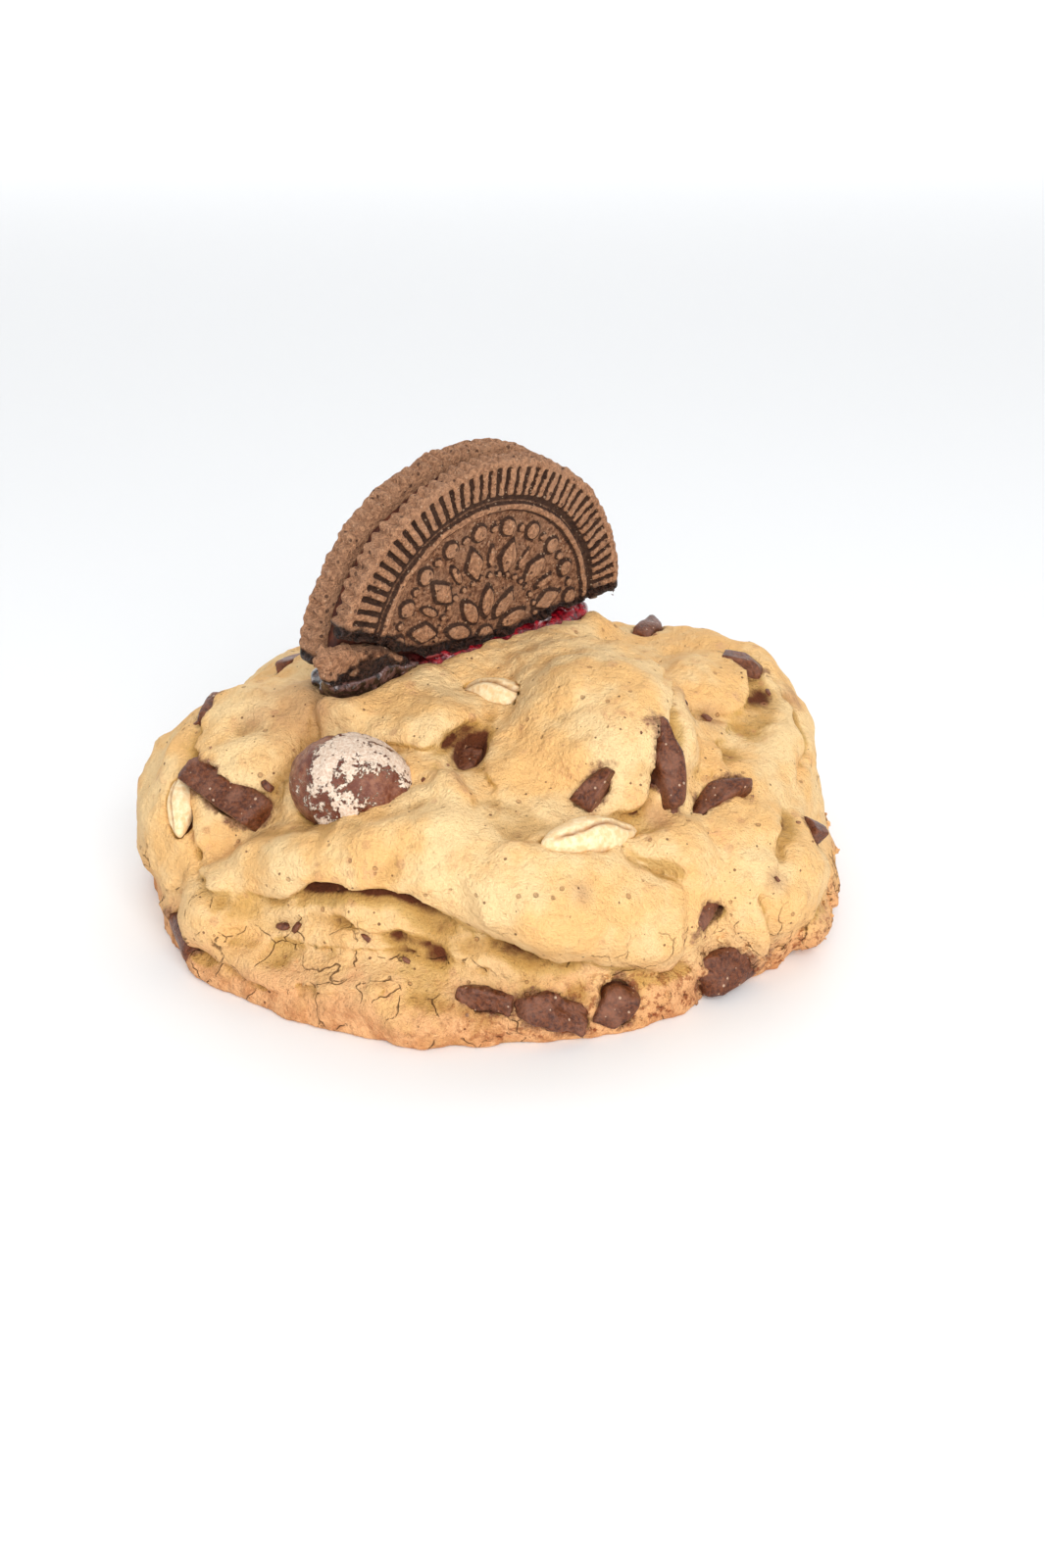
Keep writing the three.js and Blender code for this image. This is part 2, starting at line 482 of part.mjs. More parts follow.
// The broken edges, from the right end to the left.
const FRONT_BREAK = [
  [22.2, 1.1], [17.4, 0.7], [12, 0.1], [7.2, -0.6], [2, -1.1], [-2.6, -1.5], [-9, -0.6], [-12.2, 0.5], [-16.7, 2.9],
  [-20.4, 4.6], [-22.4, 4.9],
];
const BACK_BREAK = [[22.6, 0.4], [15, -0.7], [6, -1.3], [-3, -0.8], [-11, -1.8], [-18, -1.2], [-22.8, -0.4]];
const FILLING_BREAK = [[20.6, 0.6], [10, -0.6], [-2, -1.6], [-12, -1.4], [-20.8, -0.6]];
const FOOT_OUTLINE = [
  [-25, 3.4], [-23.8, 4.3], [-20.6, 3.9], [-16.9, 2.3], [-12.4, -0.1], [-11.6, -1.3], [-17.7, -2.4], [-22.7, -1.7],
  [-25.2, 0.8],
];
const FOOT = { look: CHOCOLATE, size: [15.4, 7.6, 4.2] }; // the rough lump that the outline is cut from
const FOOT_MIDDLE = [-18.4, 0.8, -1.6];

// A half-round outline that starts and ends at its broken edge, with teeth when the serration isn't 0.
function halfRound(radius, serration, broken, steps = RIDGES_ROUND) {
  const start = Math.atan2(broken[0][1], broken[0][0]);
  const end = Math.atan2(broken.at(-1)[1], broken.at(-1)[0]);
  const span = (end + 2 * Math.PI) % (2 * Math.PI) - start;
  const arc = Array.from({ length: steps + 1 }, (_, i) => {
    const tooth = i % 2 ? 0 : -serration;
    return polar(radius + tooth, THREE.MathUtils.radToDeg(start + (span * i) / steps));
  });
  return new THREE.Shape([...arc, ...broken.slice(1, -1).reverse().map(point2)]);
}

const slab = (shape, depth, z) => new THREE.ExtrudeGeometry(shape, { depth, bevelEnabled: false }).translate(0, 0, z);

// Ridges round the rim and a plain rosette with rings of beads: a common biscuit ornament.
function ornament(height) {
  const depth = height + 0.3;
  const pieces = [];
  const block = (shape) => pieces.push(slab(shape, depth, -0.3));
  const pitch = 360 / RIDGES_ROUND;
  for (let a = pitch / 2; a < 180; a += pitch) {
    const half = 0.3 * pitch;
    const inner = [1.15, -1.15].map((side) => polar(RIDGE_INNER, a + side * half));
    const outer = [-1, 1].map((side) => polar(BISCUIT_RADIUS + 1, a + side * half));
    block(new THREE.Shape([...inner, ...outer]));
  }
  const ring = (inner, outer, steps) => {
    const along = (r) => Array.from({ length: steps + 1 }, (_, i) => polar(r, -20 + (220 * i) / steps));
    block(new THREE.Shape([...along(outer), ...along(inner).reverse()]));
  };
  ring(16.4, 17.2, 16);
  const spot = (radius, angle, long, wide, sides) => {
    const centre = polar(radius, angle);
    const corners = Array.from({ length: sides }, (_, i) => polar(1, (360 * i) / sides)
      .multiply(point2([long, wide])).rotateAround(point2([0, 0]), radians(angle)).add(centre));
    block(new THREE.Shape(corners));
  };
  for (let i = 0; i < 10; i++) spot(14.2, 9 + 18 * i, 0.9, 0.9, 5);
  for (let i = 0; i < 6; i++) spot(10.4, 15 + 30 * i, 2.2, 1.2, 4);
  for (let i = 0; i < 5; i++) spot(4.4, 18 + 36 * i, 2.4, 1.0, 4);
  return pieces.map(solidOf).reduce((all, one) => all.add(one));
}

// A wafer whose field lies at z = 0 and whose ornament stands over it.
function waferSolid(shape) {
  const plate = solidOf(slab(shape, WAFER_THICKNESS - RELIEF, RELIEF - WAFER_THICKNESS));
  const pattern = ornament(RELIEF).intersect(solidOf(slab(shape, 4, -2)));
  return plate.add(pattern);
}

const biscuitDepth = 2 * WAFER_THICKNESS + FILLING_THICKNESS;
const frontWafer = waferSolid(halfRound(BISCUIT_RADIUS, SERRATION, FRONT_BREAK)).translate([0, 0, -RELIEF]);
const backMirror = BACK_BREAK.map(([x, y]) => [-x, y]).reverse();
const backWafer = waferSolid(halfRound(BISCUIT_RADIUS, SERRATION, backMirror))
  .translate([0, 0, -RELIEF])
  .rotate([0, 180, 0])
  .translate([0, 0, -biscuitDepth]);
const fillingShape = halfRound(BISCUIT_RADIUS - 1.9, 0, FILLING_BREAK, PLAIN_STEPS);
const fillingBack = FIT_GAP - WAFER_THICKNESS - FILLING_THICKNESS;
const filling = solidOf(slab(fillingShape, FILLING_THICKNESS - 2 * FIT_GAP, fillingBack));
const footLump = lumpGeometry(FOOT, 2, 3, 0).rotateZ(radians(-18)).translate(...FOOT_MIDDLE);
const footSlab = slab(shapeOf([...FOOT_OUTLINE].reverse()), WAFER_THICKNESS + 0.2, 0.3 - WAFER_THICKNESS);
const foot = solidOf(footSlab).intersect(solidOf(footLump));

// The jam is one long soft bead under the broken edges, over the whole thickness of the sandwich.
const JAM_HALF = vector(21.6, 2.2, biscuitDepth / 2 + 1);
const JAM_MIDDLE = vector(-1, -2.6, -biscuitDepth / 2);
function jamGeometry(clearance) {
  const square = (v) => Math.sign(v) * Math.abs(v) ** 0.62;
  return mapVertices(new THREE.IcosahedronGeometry(1, 3), (v) => {
    const wave = 1 + 0.12 * Math.sin(5 * v.x + 1) + 0.06 * Math.sin(11 * v.x);
    const half = JAM_HALF.clone().addScalar(clearance);
    const p = vector(square(v.x) * half.x, v.y * half.y * wave, square(v.z) * half.z * (0.9 + 0.1 * wave));
    p.y += 0.035 * p.x + 0.0025 * p.x * p.x - 0.6;
    return p.add(JAM_MIDDLE);
  });
}

// The room that the biscuit takes up, a fit gap larger than the biscuit.
function biscuitRoom() {
  const outline = (list, grow) => list.map(([x, y]) => [x * (1 + grow / BISCUIT_RADIUS), y - grow]);
  const sheath = (broken, depth, z) => {
    const shape = halfRound(BISCUIT_RADIUS + FIT_GAP, 0, outline(broken, FIT_GAP), PLAIN_STEPS);
    return solidOf(slab(shape, depth + 2 * FIT_GAP, z - FIT_GAP));
  };
  const away = (from, middle) => from + Math.sign(from - middle) * FIT_GAP * 1.3;
  const footRoom = FOOT_OUTLINE.map(([x, y]) => [away(x, -18), away(y, 1.2)]).reverse();
  return sheath(FRONT_BREAK, WAFER_THICKNESS, -WAFER_THICKNESS)
    .add(sheath(BACK_BREAK, WAFER_THICKNESS, -biscuitDepth))
    .add(sheath(FILLING_BREAK, FILLING_THICKNESS, -WAFER_THICKNESS - FILLING_THICKNESS))
    .add(solidOf(slab(shapeOf(footRoom), WAFER_THICKNESS + 0.2 + 2 * FIT_GAP, -WAFER_THICKNESS)));
}

// ---- the whole ----
const cookie = new THREE.Group();
function addNode(name, solid, look, roughness) {
  const material = new THREE.MeshStandardMaterial({ color: COLOURS[look], roughness, metalness: 0 });
  const mesh = new THREE.Mesh(geometryOf(solid), material);
  mesh.name = name;
  cookie.add(mesh);
}

const stand = (solid) => solid.transform(biscuitPlace.elements);
const room = stand(biscuitRoom());
let dough = doughSolid().subtract(room).subtract(stand(solidOf(jamGeometry(FIT_GAP))));

[...PIECES, BALL].forEach((piece, i) => {
  const detail = piece === BALL ? 3 : PIECE_DETAIL;
  const place = placement(piece);
  const lump = (clearance) => solidOf(lumpGeometry(piece, detail, i, clearance).applyMatrix4(place));
  dough = dough.subtract(lump(FIT_GAP));
  addNode(piece.name, lump(0), piece.look, piece.look === CHOCOLATE ? 0.45 : 0.8);
});
addNode("dough", dough, "dough", 0.85);
addNode("wafer_front", stand(frontWafer), "wafer", 0.9);
addNode("wafer_back", stand(backWafer), "wafer", 0.9);
addNode("wafer_foot", stand(foot), "wafer", 0.6);
addNode("filling", stand(filling), "filling", 0.6);
addNode("jam", stand(solidOf(jamGeometry(0))).subtract(room), "jam", 0.15);

export default cookie;
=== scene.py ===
import math
import bpy
import bmesh
import numpy as np
from mathutils import Matrix


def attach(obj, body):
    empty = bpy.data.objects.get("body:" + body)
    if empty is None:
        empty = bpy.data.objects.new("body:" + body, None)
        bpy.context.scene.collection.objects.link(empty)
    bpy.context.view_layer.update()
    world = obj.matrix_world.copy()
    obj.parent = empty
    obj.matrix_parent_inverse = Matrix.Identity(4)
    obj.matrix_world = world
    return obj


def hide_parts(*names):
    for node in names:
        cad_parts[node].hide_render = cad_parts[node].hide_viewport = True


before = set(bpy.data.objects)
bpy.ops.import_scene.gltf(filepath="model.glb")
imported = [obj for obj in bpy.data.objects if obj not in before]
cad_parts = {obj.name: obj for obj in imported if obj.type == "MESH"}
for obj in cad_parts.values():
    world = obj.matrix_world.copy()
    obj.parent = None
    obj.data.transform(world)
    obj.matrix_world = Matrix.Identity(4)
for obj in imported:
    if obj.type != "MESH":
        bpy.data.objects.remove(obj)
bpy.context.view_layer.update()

# ---- The view of the photograph ----
# A camera a hand's breadth in front of the cookie and a little above it, looking 25 degrees down. The frame
# is 1066 by 1600 pixels, and the lens covers 53 degrees of its height.
CAMERA_PLACE = (0.004, -0.186, 0.097)
CAMERA_DOWN = math.radians(25)
camera = bpy.data.objects.new("camera", bpy.data.cameras.new("camera"))
camera.data.lens = 36
camera.data.sensor_width = 36
camera.data.clip_start = 0.01
camera.location = CAMERA_PLACE
camera.rotation_euler = (math.radians(90) - CAMERA_DOWN, 0, 0)
bpy.context.scene.collection.objects.link(camera)
bpy.context.scene.camera = camera

# ---- The dough ----
# One thick lump of cookie dough, folded over itself and baked: pale gold and matt on top, browner and crumbly
# at the rim. It is worked out as a distance, in millimetres, from a mound, a rim, lumps, rolls and creases.
MM = 0.001
COOKIE_RADIUS = 44.4
RIM_HEIGHT = 6.2
RIM_ROUNDING = 3.0
DOME_RADIUS = 41.6
DOME_HEIGHT = 29.2
DOME_SQUARENESS = 2.4
HEART = np.array([0, 0, 8.0])  # where the bearings of creases and chunks are taken from

# Lumps of dough: middle, half sizes (along the side, outwards, up), turn, slant, lean, and how softly they
# blend.
LOBES = {
    "back left": ((-24, 20, 8.5), (17, 14, 12.8), -130, 0, 0, 3),
    "back middle": ((0, 27, 10.5), (17, 15, 13.5), 180, 0, 0, 3),
    "back right": ((25, 20, 10.5), (16, 15, 13), 140, 0, 0, 3),
    "crown": ((2, 8, 15.5), (20, 14, 13.5), 0, 0, 0, 4),
    "left flank": ((-35, -11, 9), (16, 8.5, 12.5), -74, 0, 0, 1.2),
    "top left": ((-26, -10, 15.5), (15, 14.5, 12.2), -62, 0, 8, 0.9),
    "top middle": ((-8, -14, 19), (14, 13, 10.3), -15, 6, 0, 1.3),
    "top": ((11.6, -10.5, 18.4), (14, 20.5, 14.6), 12, 0, -12, 1.0),
    "top right": ((25, -1, 17.5), (10, 9.5, 10.6), 75, 0, 0, 1.2),
    "right middle": ((25, -16, 14), (11, 10, 9), 50, 0, 0, 1.2),
    "right low": ((27, -21, 9.5), (13, 14, 10), 42, 0, 0, 1.6),
    "nose": ((20, -29, 14), (5, 7.2, 5.2), 30, 0, 0, 1.2),
    "right flank": ((33, -9, 9), (17, 8.5, 12), 76, 0, 0, 1.6),
    "low left": ((-29.5, -27, 6.5), (6.5, 6.5, 7), -44, 0, 0, 1.4),
    "belly": ((7, -26.6, 13.4), (17, 17.4, 8.8), 8, -16, 0, 1.2),
    "belly foot": ((15.5, -31, 9.5), (9, 10.5, 7.5), 22, 0, 0, 1.8),
    "right bump": ((38, -12, 4), (9, 5.5, 6), 76, 0, 0, 1.2),
    "low right bump": ((35, -23, 3.2), (5.5, 5.5, 4.5), 56, 0, 0, 1.2),
}

# Rolls of dough: how softly they blend, and a route of points with a radius.
ROLLS = {
    "belly left": (1.6, [
        (-25, -27.5, 13.3, 4.2), (-15, -31.5, 15.8, 6.2), (-6, -32.5, 16.2, 7.4), (2, -30, 15, 8),
    ]),
    "bridge": (1.4, [(-6, -31, 20, 4), (-4.5, -30, 22.3, 3), (-4.5, -28, 24.8, 2)]),
    "right ring": (1.6, [
        (14, 18, 16.5, 9), (28.5, 8.5, 18.8, 9.4), (32, -2, 17, 9), (30, -12, 12.5, 8.2), (26, -21, 10, 7),
    ]),
    "upper fold": (1.2, [(-25, -29, 8, 4.3), (-14, -33.3, 8.4, 5.2), (-4, -36, 7.4, 5.4), (2, -37, 6, 5)]),
    "jam collar": (2.6, [
        (-20.5, -9, 26, 2), (-20.5, -14, 26.6, 2.2), (-17.5, -17, 27, 2.2), (-12, -14, 27.2, 1.9),
        (-5.7, -8.2, 27.4, 1.8), (1, -2.2, 27.8, 1.8), (8.6, 4.3, 28, 2), (13, 8, 27.4, 2.6),
    ]),
    "lower fold": (0.9, [(-8, -35.2, 9.4, 4), (0, -37.8, 8.2, 4), (9, -37.9, 7.2, 3.4)]),
}

# Creases: how deep each is, how far it leans in under what lies to its left, how round its edges are, and a
# line of bearings with half its width.
CREASES = {
    "top left edge": (2.6, -20, 1.2, [
        (-56, 44, 0.2), (-52, 38, 0.8), (-48, 31, 1.1), (-47, 24, 1.1), (-47, 18, 0.7),
    ]),
    "left lobe edge": (2.4, 25, 1.3, [(-72, 24, 0.2), (-62, 18.5, 0.8), (-54, 16, 0.9), (-47, 18, 0.7)]),
    "upper lip": (2.8, 25, 1.0, [
        (-42, 30, 0.2), (-34, 33, 0.7), (-24, 34, 0.7), (-16, 34, 0.8), (-10, 38, 1.1), (-5, 41, 1.1),
        (0, 46, 0.7), (4, 50, 0.2),
    ]),
    "cleft": (5.2, 0, 0.7, [
        (3, 50, 0.2), (-0.5, 43, 0.9), (-4, 38.5, 1.9), (-5.5, 36, 2.2), (-4.6, 33.4, 0.8),
    ]),
    "top lower edge": (3.0, 25, 1.0, [
        (-2, 33, 0.5), (-0.5, 29, 0.8), (3, 25, 0.9), (8, 22, 0.9), (13, 20.4, 0.8), (22, 19, 0.7),
        (30, 19.6, 0.7), (34, 21, 0.2),
    ]),
    "top right edge": (3.0, -25, 1.1, [
        (100, 46, 0.2), (75, 43, 0.7), (56, 39, 0.8), (47, 34, 0.9), (43, 29, 0.9), (36, 24.5, 0.9),
        (31, 20, 0.5),
    ]),
    "top right hollow": (3.6, -10, 1.0, [
        (102, 35, 0.2), (93, 31, 0.9), (85, 27, 1.2), (76, 24.5, 1.2), (66, 24, 0.9), (57, 22, 0.7),
        (52, 18, 0.4),
    ]),
    "top right shelf": (2.0, -10, 1.1, [(58, 36, 0.2), (65, 32.5, 0.8), (71, 29, 0.8), (76, 24.5, 0.5)]),
    "belly upper edge": (1.0, 0, 2.7, [
        (-52, 11, 0.4), (-46, 14.5, 0.8), (-35, 18.5, 0.9), (-26, 21, 0.9), (-17, 23.5, 0.8), (-10, 26, 0.4),
    ]),
    "belly right edge": (2.8, -15, 1.0, [
        (24, 17, 0.7), (25, 13.8, 1.2), (29.6, 11.5, 0.9), (31.8, 9, 0.8), (31.2, 6, 0.7), (30, 2, 0.7),
        (30, -4.8, 0.4),
    ]),
    "deep fold": (4.8, 42, 1.1, [
        (-44, 4.2, 0.2), (-39, 3.6, 0.7), (-34, 4, 0.8), (-29, 6, 1.1), (-24, 7.6, 1.2), (-19.5, 8.2, 1.2),
        (-13, 7.8, 1.1), (-8.5, 6, 0.9), (-4.3, 3.1, 0.9), (0.4, 1.2, 1.1), (5.7, 0.2, 1.1), (10.5, -1, 0.9),
        (14.4, -3, 0.7), (21, -4.4, 0.5), (29, -5.4, 0.4),
    ]),
    "upper fold line": (1.8, 25, 1.0, [
        (-42, -1.6, 0.2), (-34, 0.8, 0.7), (-26, 2.8, 0.7), (-16, 2.9, 0.7), (-9.7, 1.6, 0.7),
        (-4, -0.7, 0.7), (2.6, -1.9, 0.7), (8, -3.4, 0.4),
    ]),
    "layer line": (1.8, 20, 1.0, [
        (-34, -2, 0.2), (-26, -1.9, 0.5), (-19, -0.3, 0.5), (-12, 0, 0.5), (-6.7, -1, 0.5), (-2, -2.4, 0.2),
    ]),
    "rim line": (2.0, 15, 1.1, [
        (-56, -4, 0.2), (-44, -5.8, 0.7), (-36, -7, 0.7), (-29, -6.2, 0.7), (-21, -4.8, 0.7),
        (-10.6, -3.2, 0.7), (-3.6, -3, 0.4),
    ]),
    "rim line right": (2.2, 15, 1.1, [
        (2, -4.3, 0.2), (9.7, -4.8, 0.7), (17, -4.6, 0.8), (25, -4.2, 0.8), (33, -5.2, 0.4),
    ]),
    "right crease": (2.2, 10, 1.4, [
        (92, 27, 0.2), (82, 18, 0.8), (70, 13.5, 0.9), (54, 12, 0.8), (45, 7, 0.4),
    ]),
    "left crease": (2.4, -15, 1.2, [
        (-62, 16, 0.2), (-56, 9.6, 0.8), (-53, 6.5, 0.9), (-49, 4.5, 0.8), (-43, 3.8, 0.5),
    ]),
    "right bump crease": (2.2, 15, 1.2, [(80, 6, 0.2), (64, 4, 0.9), (52, -4, 0.4)]),
    "low bump crease": (2.2, 0, 1.2, [(42, 5, 0.2), (44, -1, 0.9), (48, -8, 0.5)]),
    "back fold left": (2.6, 20, 2.2, [
        (-75, 52, 0.2), (-105, 48, 1.1), (-135, 42, 1.2), (-150, 30, 1.1), (-152, 15, 0.4),
    ]),
    "back fold right": (2.4, -20, 2.2, [(128, 58, 0.2), (140, 45, 1.1), (150, 28, 1.2), (148, 10, 0.4)]),
    "back deep fold": (3.0, -35, 1.7, [
        (162, 8, 0.4), (176, 14, 1.1), (195, 16, 1.2), (212, 12, 1.1), (224, 8, 0.4),
    ]),
    "right back fold": (2.2, -15, 2.0, [(98, 6, 0.4), (112, 11, 1.1), (130, 9, 0.4)]),
    "left back fold": (2.2, 15, 2.0, [(-98, 6, 0.4), (-116, 11, 1.1), (-138, 7, 0.4)]),
}


def smooth_min(a, b, k):
    h = np.maximum(k - np.abs(a - b), 0)
    return np.minimum(a, b) - h * h / (4 * k)


def smooth_max(a, b, k):
    return -smooth_min(-a, -b, k)


def axes_at(turn, slant=0, lean=0):
    """Along the side, outwards and up at a bearing round the cookie, as the rows of a matrix."""
    a, s, l = np.radians([turn, slant, lean])
    along, out, up = np.array([[math.cos(a), math.sin(a), 0], [math.sin(a), -math.cos(a), 0], [0, 0, 1]])
    along, up = along * math.cos(s) + up * math.sin(s), up * math.cos(s) - along * math.sin(s)
    out, up = out * math.cos(l) - up * math.sin(l), up * math.cos(l) + out * math.sin(l)
    return np.array([along, out, up])


def lump_distance(points, middle, half, axes):
    local = (points - np.array(middle)) @ axes.T
    k0 = np.linalg.norm(local / np.array(half), axis=1)
    k1 = np.linalg.norm(local / np.square(half), axis=1)
    return k0 * (k0 - 1) / np.maximum(k1, 1e-9)


def dome_distance(points):
    n = DOME_SQUARENESS
    across = (np.hypot(points[:, 0], points[:, 1]) + 1e-9) / DOME_RADIUS
    high = (np.abs(points[:, 2]) + 1e-9) / DOME_HEIGHT
    k = (across**n + high**n) ** (1 / n)
    slope = k ** (1 - n) * np.hypot(across ** (n - 1) / DOME_RADIUS, high ** (n - 1) / DOME_HEIGHT)
    return (k - 1) / slope


def rim_distance(points):
    a = np.arctan2(points[:, 0], -points[:, 1])
    wander = (0.6 * np.cos(a) - 0.24 * np.sin(a) + 0.5 * np.cos(2 * a + 0.6) + 0.55 * np.cos(3 * a + 1)
              + 0.35 * np.cos(7 * a) + 0.25 * np.cos(11 * a + 2))
    out = np.hypot(points[:, 0], points[:, 1]) - (COOKIE_RADIUS + wander - RIM_ROUNDING)
    up = np.abs(points[:, 2] - RIM_HEIGHT / 3) - (RIM_HEIGHT * 2 / 3 - RIM_ROUNDING)
    return np.hypot(np.maximum(out, 0), np.maximum(up, 0)) + np.minimum(np.maximum(out, up), 0) - RIM_ROUNDING


def stretches(route, steps):
    """A smooth curve through points with their radii, as short straight stretches."""
    route = np.array(route, float)
    places = np.vstack([2 * route[0] - route[1], route, 2 * route[-1] - route[-2]])
    fine = []
    for i in range(1, len(places) - 2):
        before, start, end, after = places[i - 1:i + 3]
        for t in np.arange(steps) / steps:
            point = 0.5 * (2 * start + (end - before) * t + (2 * before - 5 * start + 4 * end - after) * t**2
                           + (3 * start - before - 3 * end + after) * t**3)
            point[3:] = start[3:] + (end[3:] - start[3:]) * t
            fine.append(point)
    fine.append(route[-1])
    return list(zip(fine[:-1], fine[1:]))


def near_route(points, route, reach):
    """Which points lie near a route, and for each of its stretches their places on it and beside it."""
    ends = np.array([s[0] for s in route] + [route[-1][1]])
    low = (ends[:, :3] - ends[:, 3:4]).min(axis=0) - reach
    high = (ends[:, :3] + ends[:, 3:4]).max(axis=0) + reach
    near = np.flatnonzero(((points > low) & (points < high)).all(axis=1))
    beside = []
    for start, end in route:
        along = end[:3] - start[:3]
        offset = points[near] - start[:3]
        t = np.clip(offset @ along / (along @ along), 0, 1)[:, None]
        beside.append((start + t * (end - start), offset - t * along))
    return near, beside


def roll_distance(points, route):
    """Distance to a roll; farther off than 8 mm, it is only said to be far."""
    near, beside = near_route(points, route, 8)
    distance = np.full(len(points), 1e3)
    apart = [np.linalg.norm(offset, axis=1) - place[:, 3] for place, offset in beside]
    distance[near] = np.min(apart, axis=0)
    return distance


def crease_distance(points, route, slope):
    """Distance to a wedge that runs into the dough; farther off than 4 mm, it is only said to be far."""
    near, beside = near_route(points, route, 4)
    distance = np.full(len(points), 1e3)
    for place, offset in beside:
        inward = place[:, 4:]
        deep = (offset * inward).sum(axis=1)
        aside = np.linalg.norm(offset - deep[:, None] * inward, axis=1)
        width = place[:, 3]
        depth = slope * width
        here = np.hypot(aside, np.maximum(deep - depth, 0)) - width * np.clip(1 - deep / depth, 0, 1.5)
        distance[near] = np.minimum(distance[near], here)
    return distance


lobes = [(middle, half, axes_at(*turns), blend) for middle, half, *turns, blend in LOBES.values()]
rolls = [(stretches(route, 4), blend) for blend, route in ROLLS.values()]


def smooth_dough(points):
    distance = smooth_min(dome_distance(points), rim_distance(points), 2.5)
    for middle, half, axes, blend in lobes:
        distance = smooth_min(distance, lump_distance(points, middle, half, axes), blend)
    for route, blend in rolls:
        distance = smooth_min(distance, roll_distance(points, route), blend)
    return distance


def seat(bearings):
    """Where lines from HEART at (azimuth, elevation) leave the dough, and their directions."""
    a, e = np.radians(np.atleast_2d(bearings)[:, :2]).T
    rays = np.column_stack([np.sin(a) * np.cos(e), -np.cos(a) * np.cos(e), np.sin(e)])
    reach = np.full(len(rays), 62.0)
    for _ in range(40):
        reach -= 0.85 * smooth_dough(HEART + reach[:, None] * rays)
    return HEART + reach[:, None] * rays, rays


def crease_route(depth, lean, bearings):
    """A crease's stretches, with half its width and the way in, and its depth over half its width."""
    points, rays = seat(np.array(bearings))
    width = np.array(bearings)[:, 2:]
    left = np.cross(rays, np.gradient(points, axis=0))
    left /= np.linalg.norm(left, axis=1)[:, None]
    inward = math.sin(math.radians(lean)) * left - math.cos(math.radians(lean)) * rays
    return stretches(np.hstack([points, width, inward]), 3), depth / width.max()


creases = [crease_route(depth, lean, bearings) + (edge,) for depth, lean, edge, bearings in CREASES.values()]

# Waves in many directions, whose sum makes the dough gently uneven all over.
WAVE_HEIGHT = 0.11
WAVES = np.arange(12)
wave_up = 1 - 2 * (WAVES + 0.5) / len(WAVES)
wave_turn = math.pi * (3 - math.sqrt(5)) * WAVES
wave_length = 9 + 10 * ((WAVES * 0.618) % 1)
wave_ways = np.stack([np.cos(wave_turn), np.sin(wave_turn), wave_up / np.sqrt(1 - wave_up**2)])
wave_ways *= 2 * math.pi / wave_length * np.sqrt(1 - wave_up**2)


def dough_distance(points):
    distance = smooth_dough(points) + WAVE_HEIGHT * np.sin(points @ wave_ways + 2.4 * WAVES).sum(axis=1)
    for route, slope, edge in creases:
        distance = smooth_max(distance, -crease_distance(points, route, slope), edge)
    return distance


CORNERS = [np.array([i, j, k]) for i in (0, 1) for j in (0, 1) for k in (0, 1)]


def hashed(cells, seed):
    """A number from 0 to 1 for each cell of a grid."""
    x, y, z = (cells + 4096).astype(np.int64).T
    mixed = (x * 73856093) ^ (y * 19349663) ^ (z * 83492791) ^ (seed * 2654435761)
    mixed = (mixed ^ (mixed >> 13)) * 1274126177 & 0xFFFFFFFF
    return (mixed ^ (mixed >> 16)) % 65536 / 65535


def grain(points, size, seed=0):
    """Smooth random heights from -1 to 1 that change over size millimetres."""
    places = points / size
    cells = np.floor(places)
    t = places - cells
    t = t * t * (3 - 2 * t)
    total = 0
    for corner in CORNERS:
        total = total + np.where(corner, t, 1 - t).prod(axis=1) * hashed(cells + corner, seed)
    return 2 * total - 1


def rough(points, size, octaves, seed=0):
    """Random heights of several sizes, each half as large and half as high as the one before."""
    return sum(grain(points, size / 2**i, seed + i) / 2**i for i in range(octaves))


def pits(points, size, seed):
    """Distance to the nearest of scattered points that are size millimetres apart, over size."""
    places = points / size
    cells = np.floor(places)
    nearest = np.full(len(points), 9.0)
    for shift in np.argwhere(np.ones((3, 3, 3))) - 1:
        there = cells + shift
        spot = there + np.column_stack([hashed(there, seed + i) for i in range(3)])
        nearest = np.minimum(nearest, np.linalg.norm(places - spot, axis=1))
    return nearest


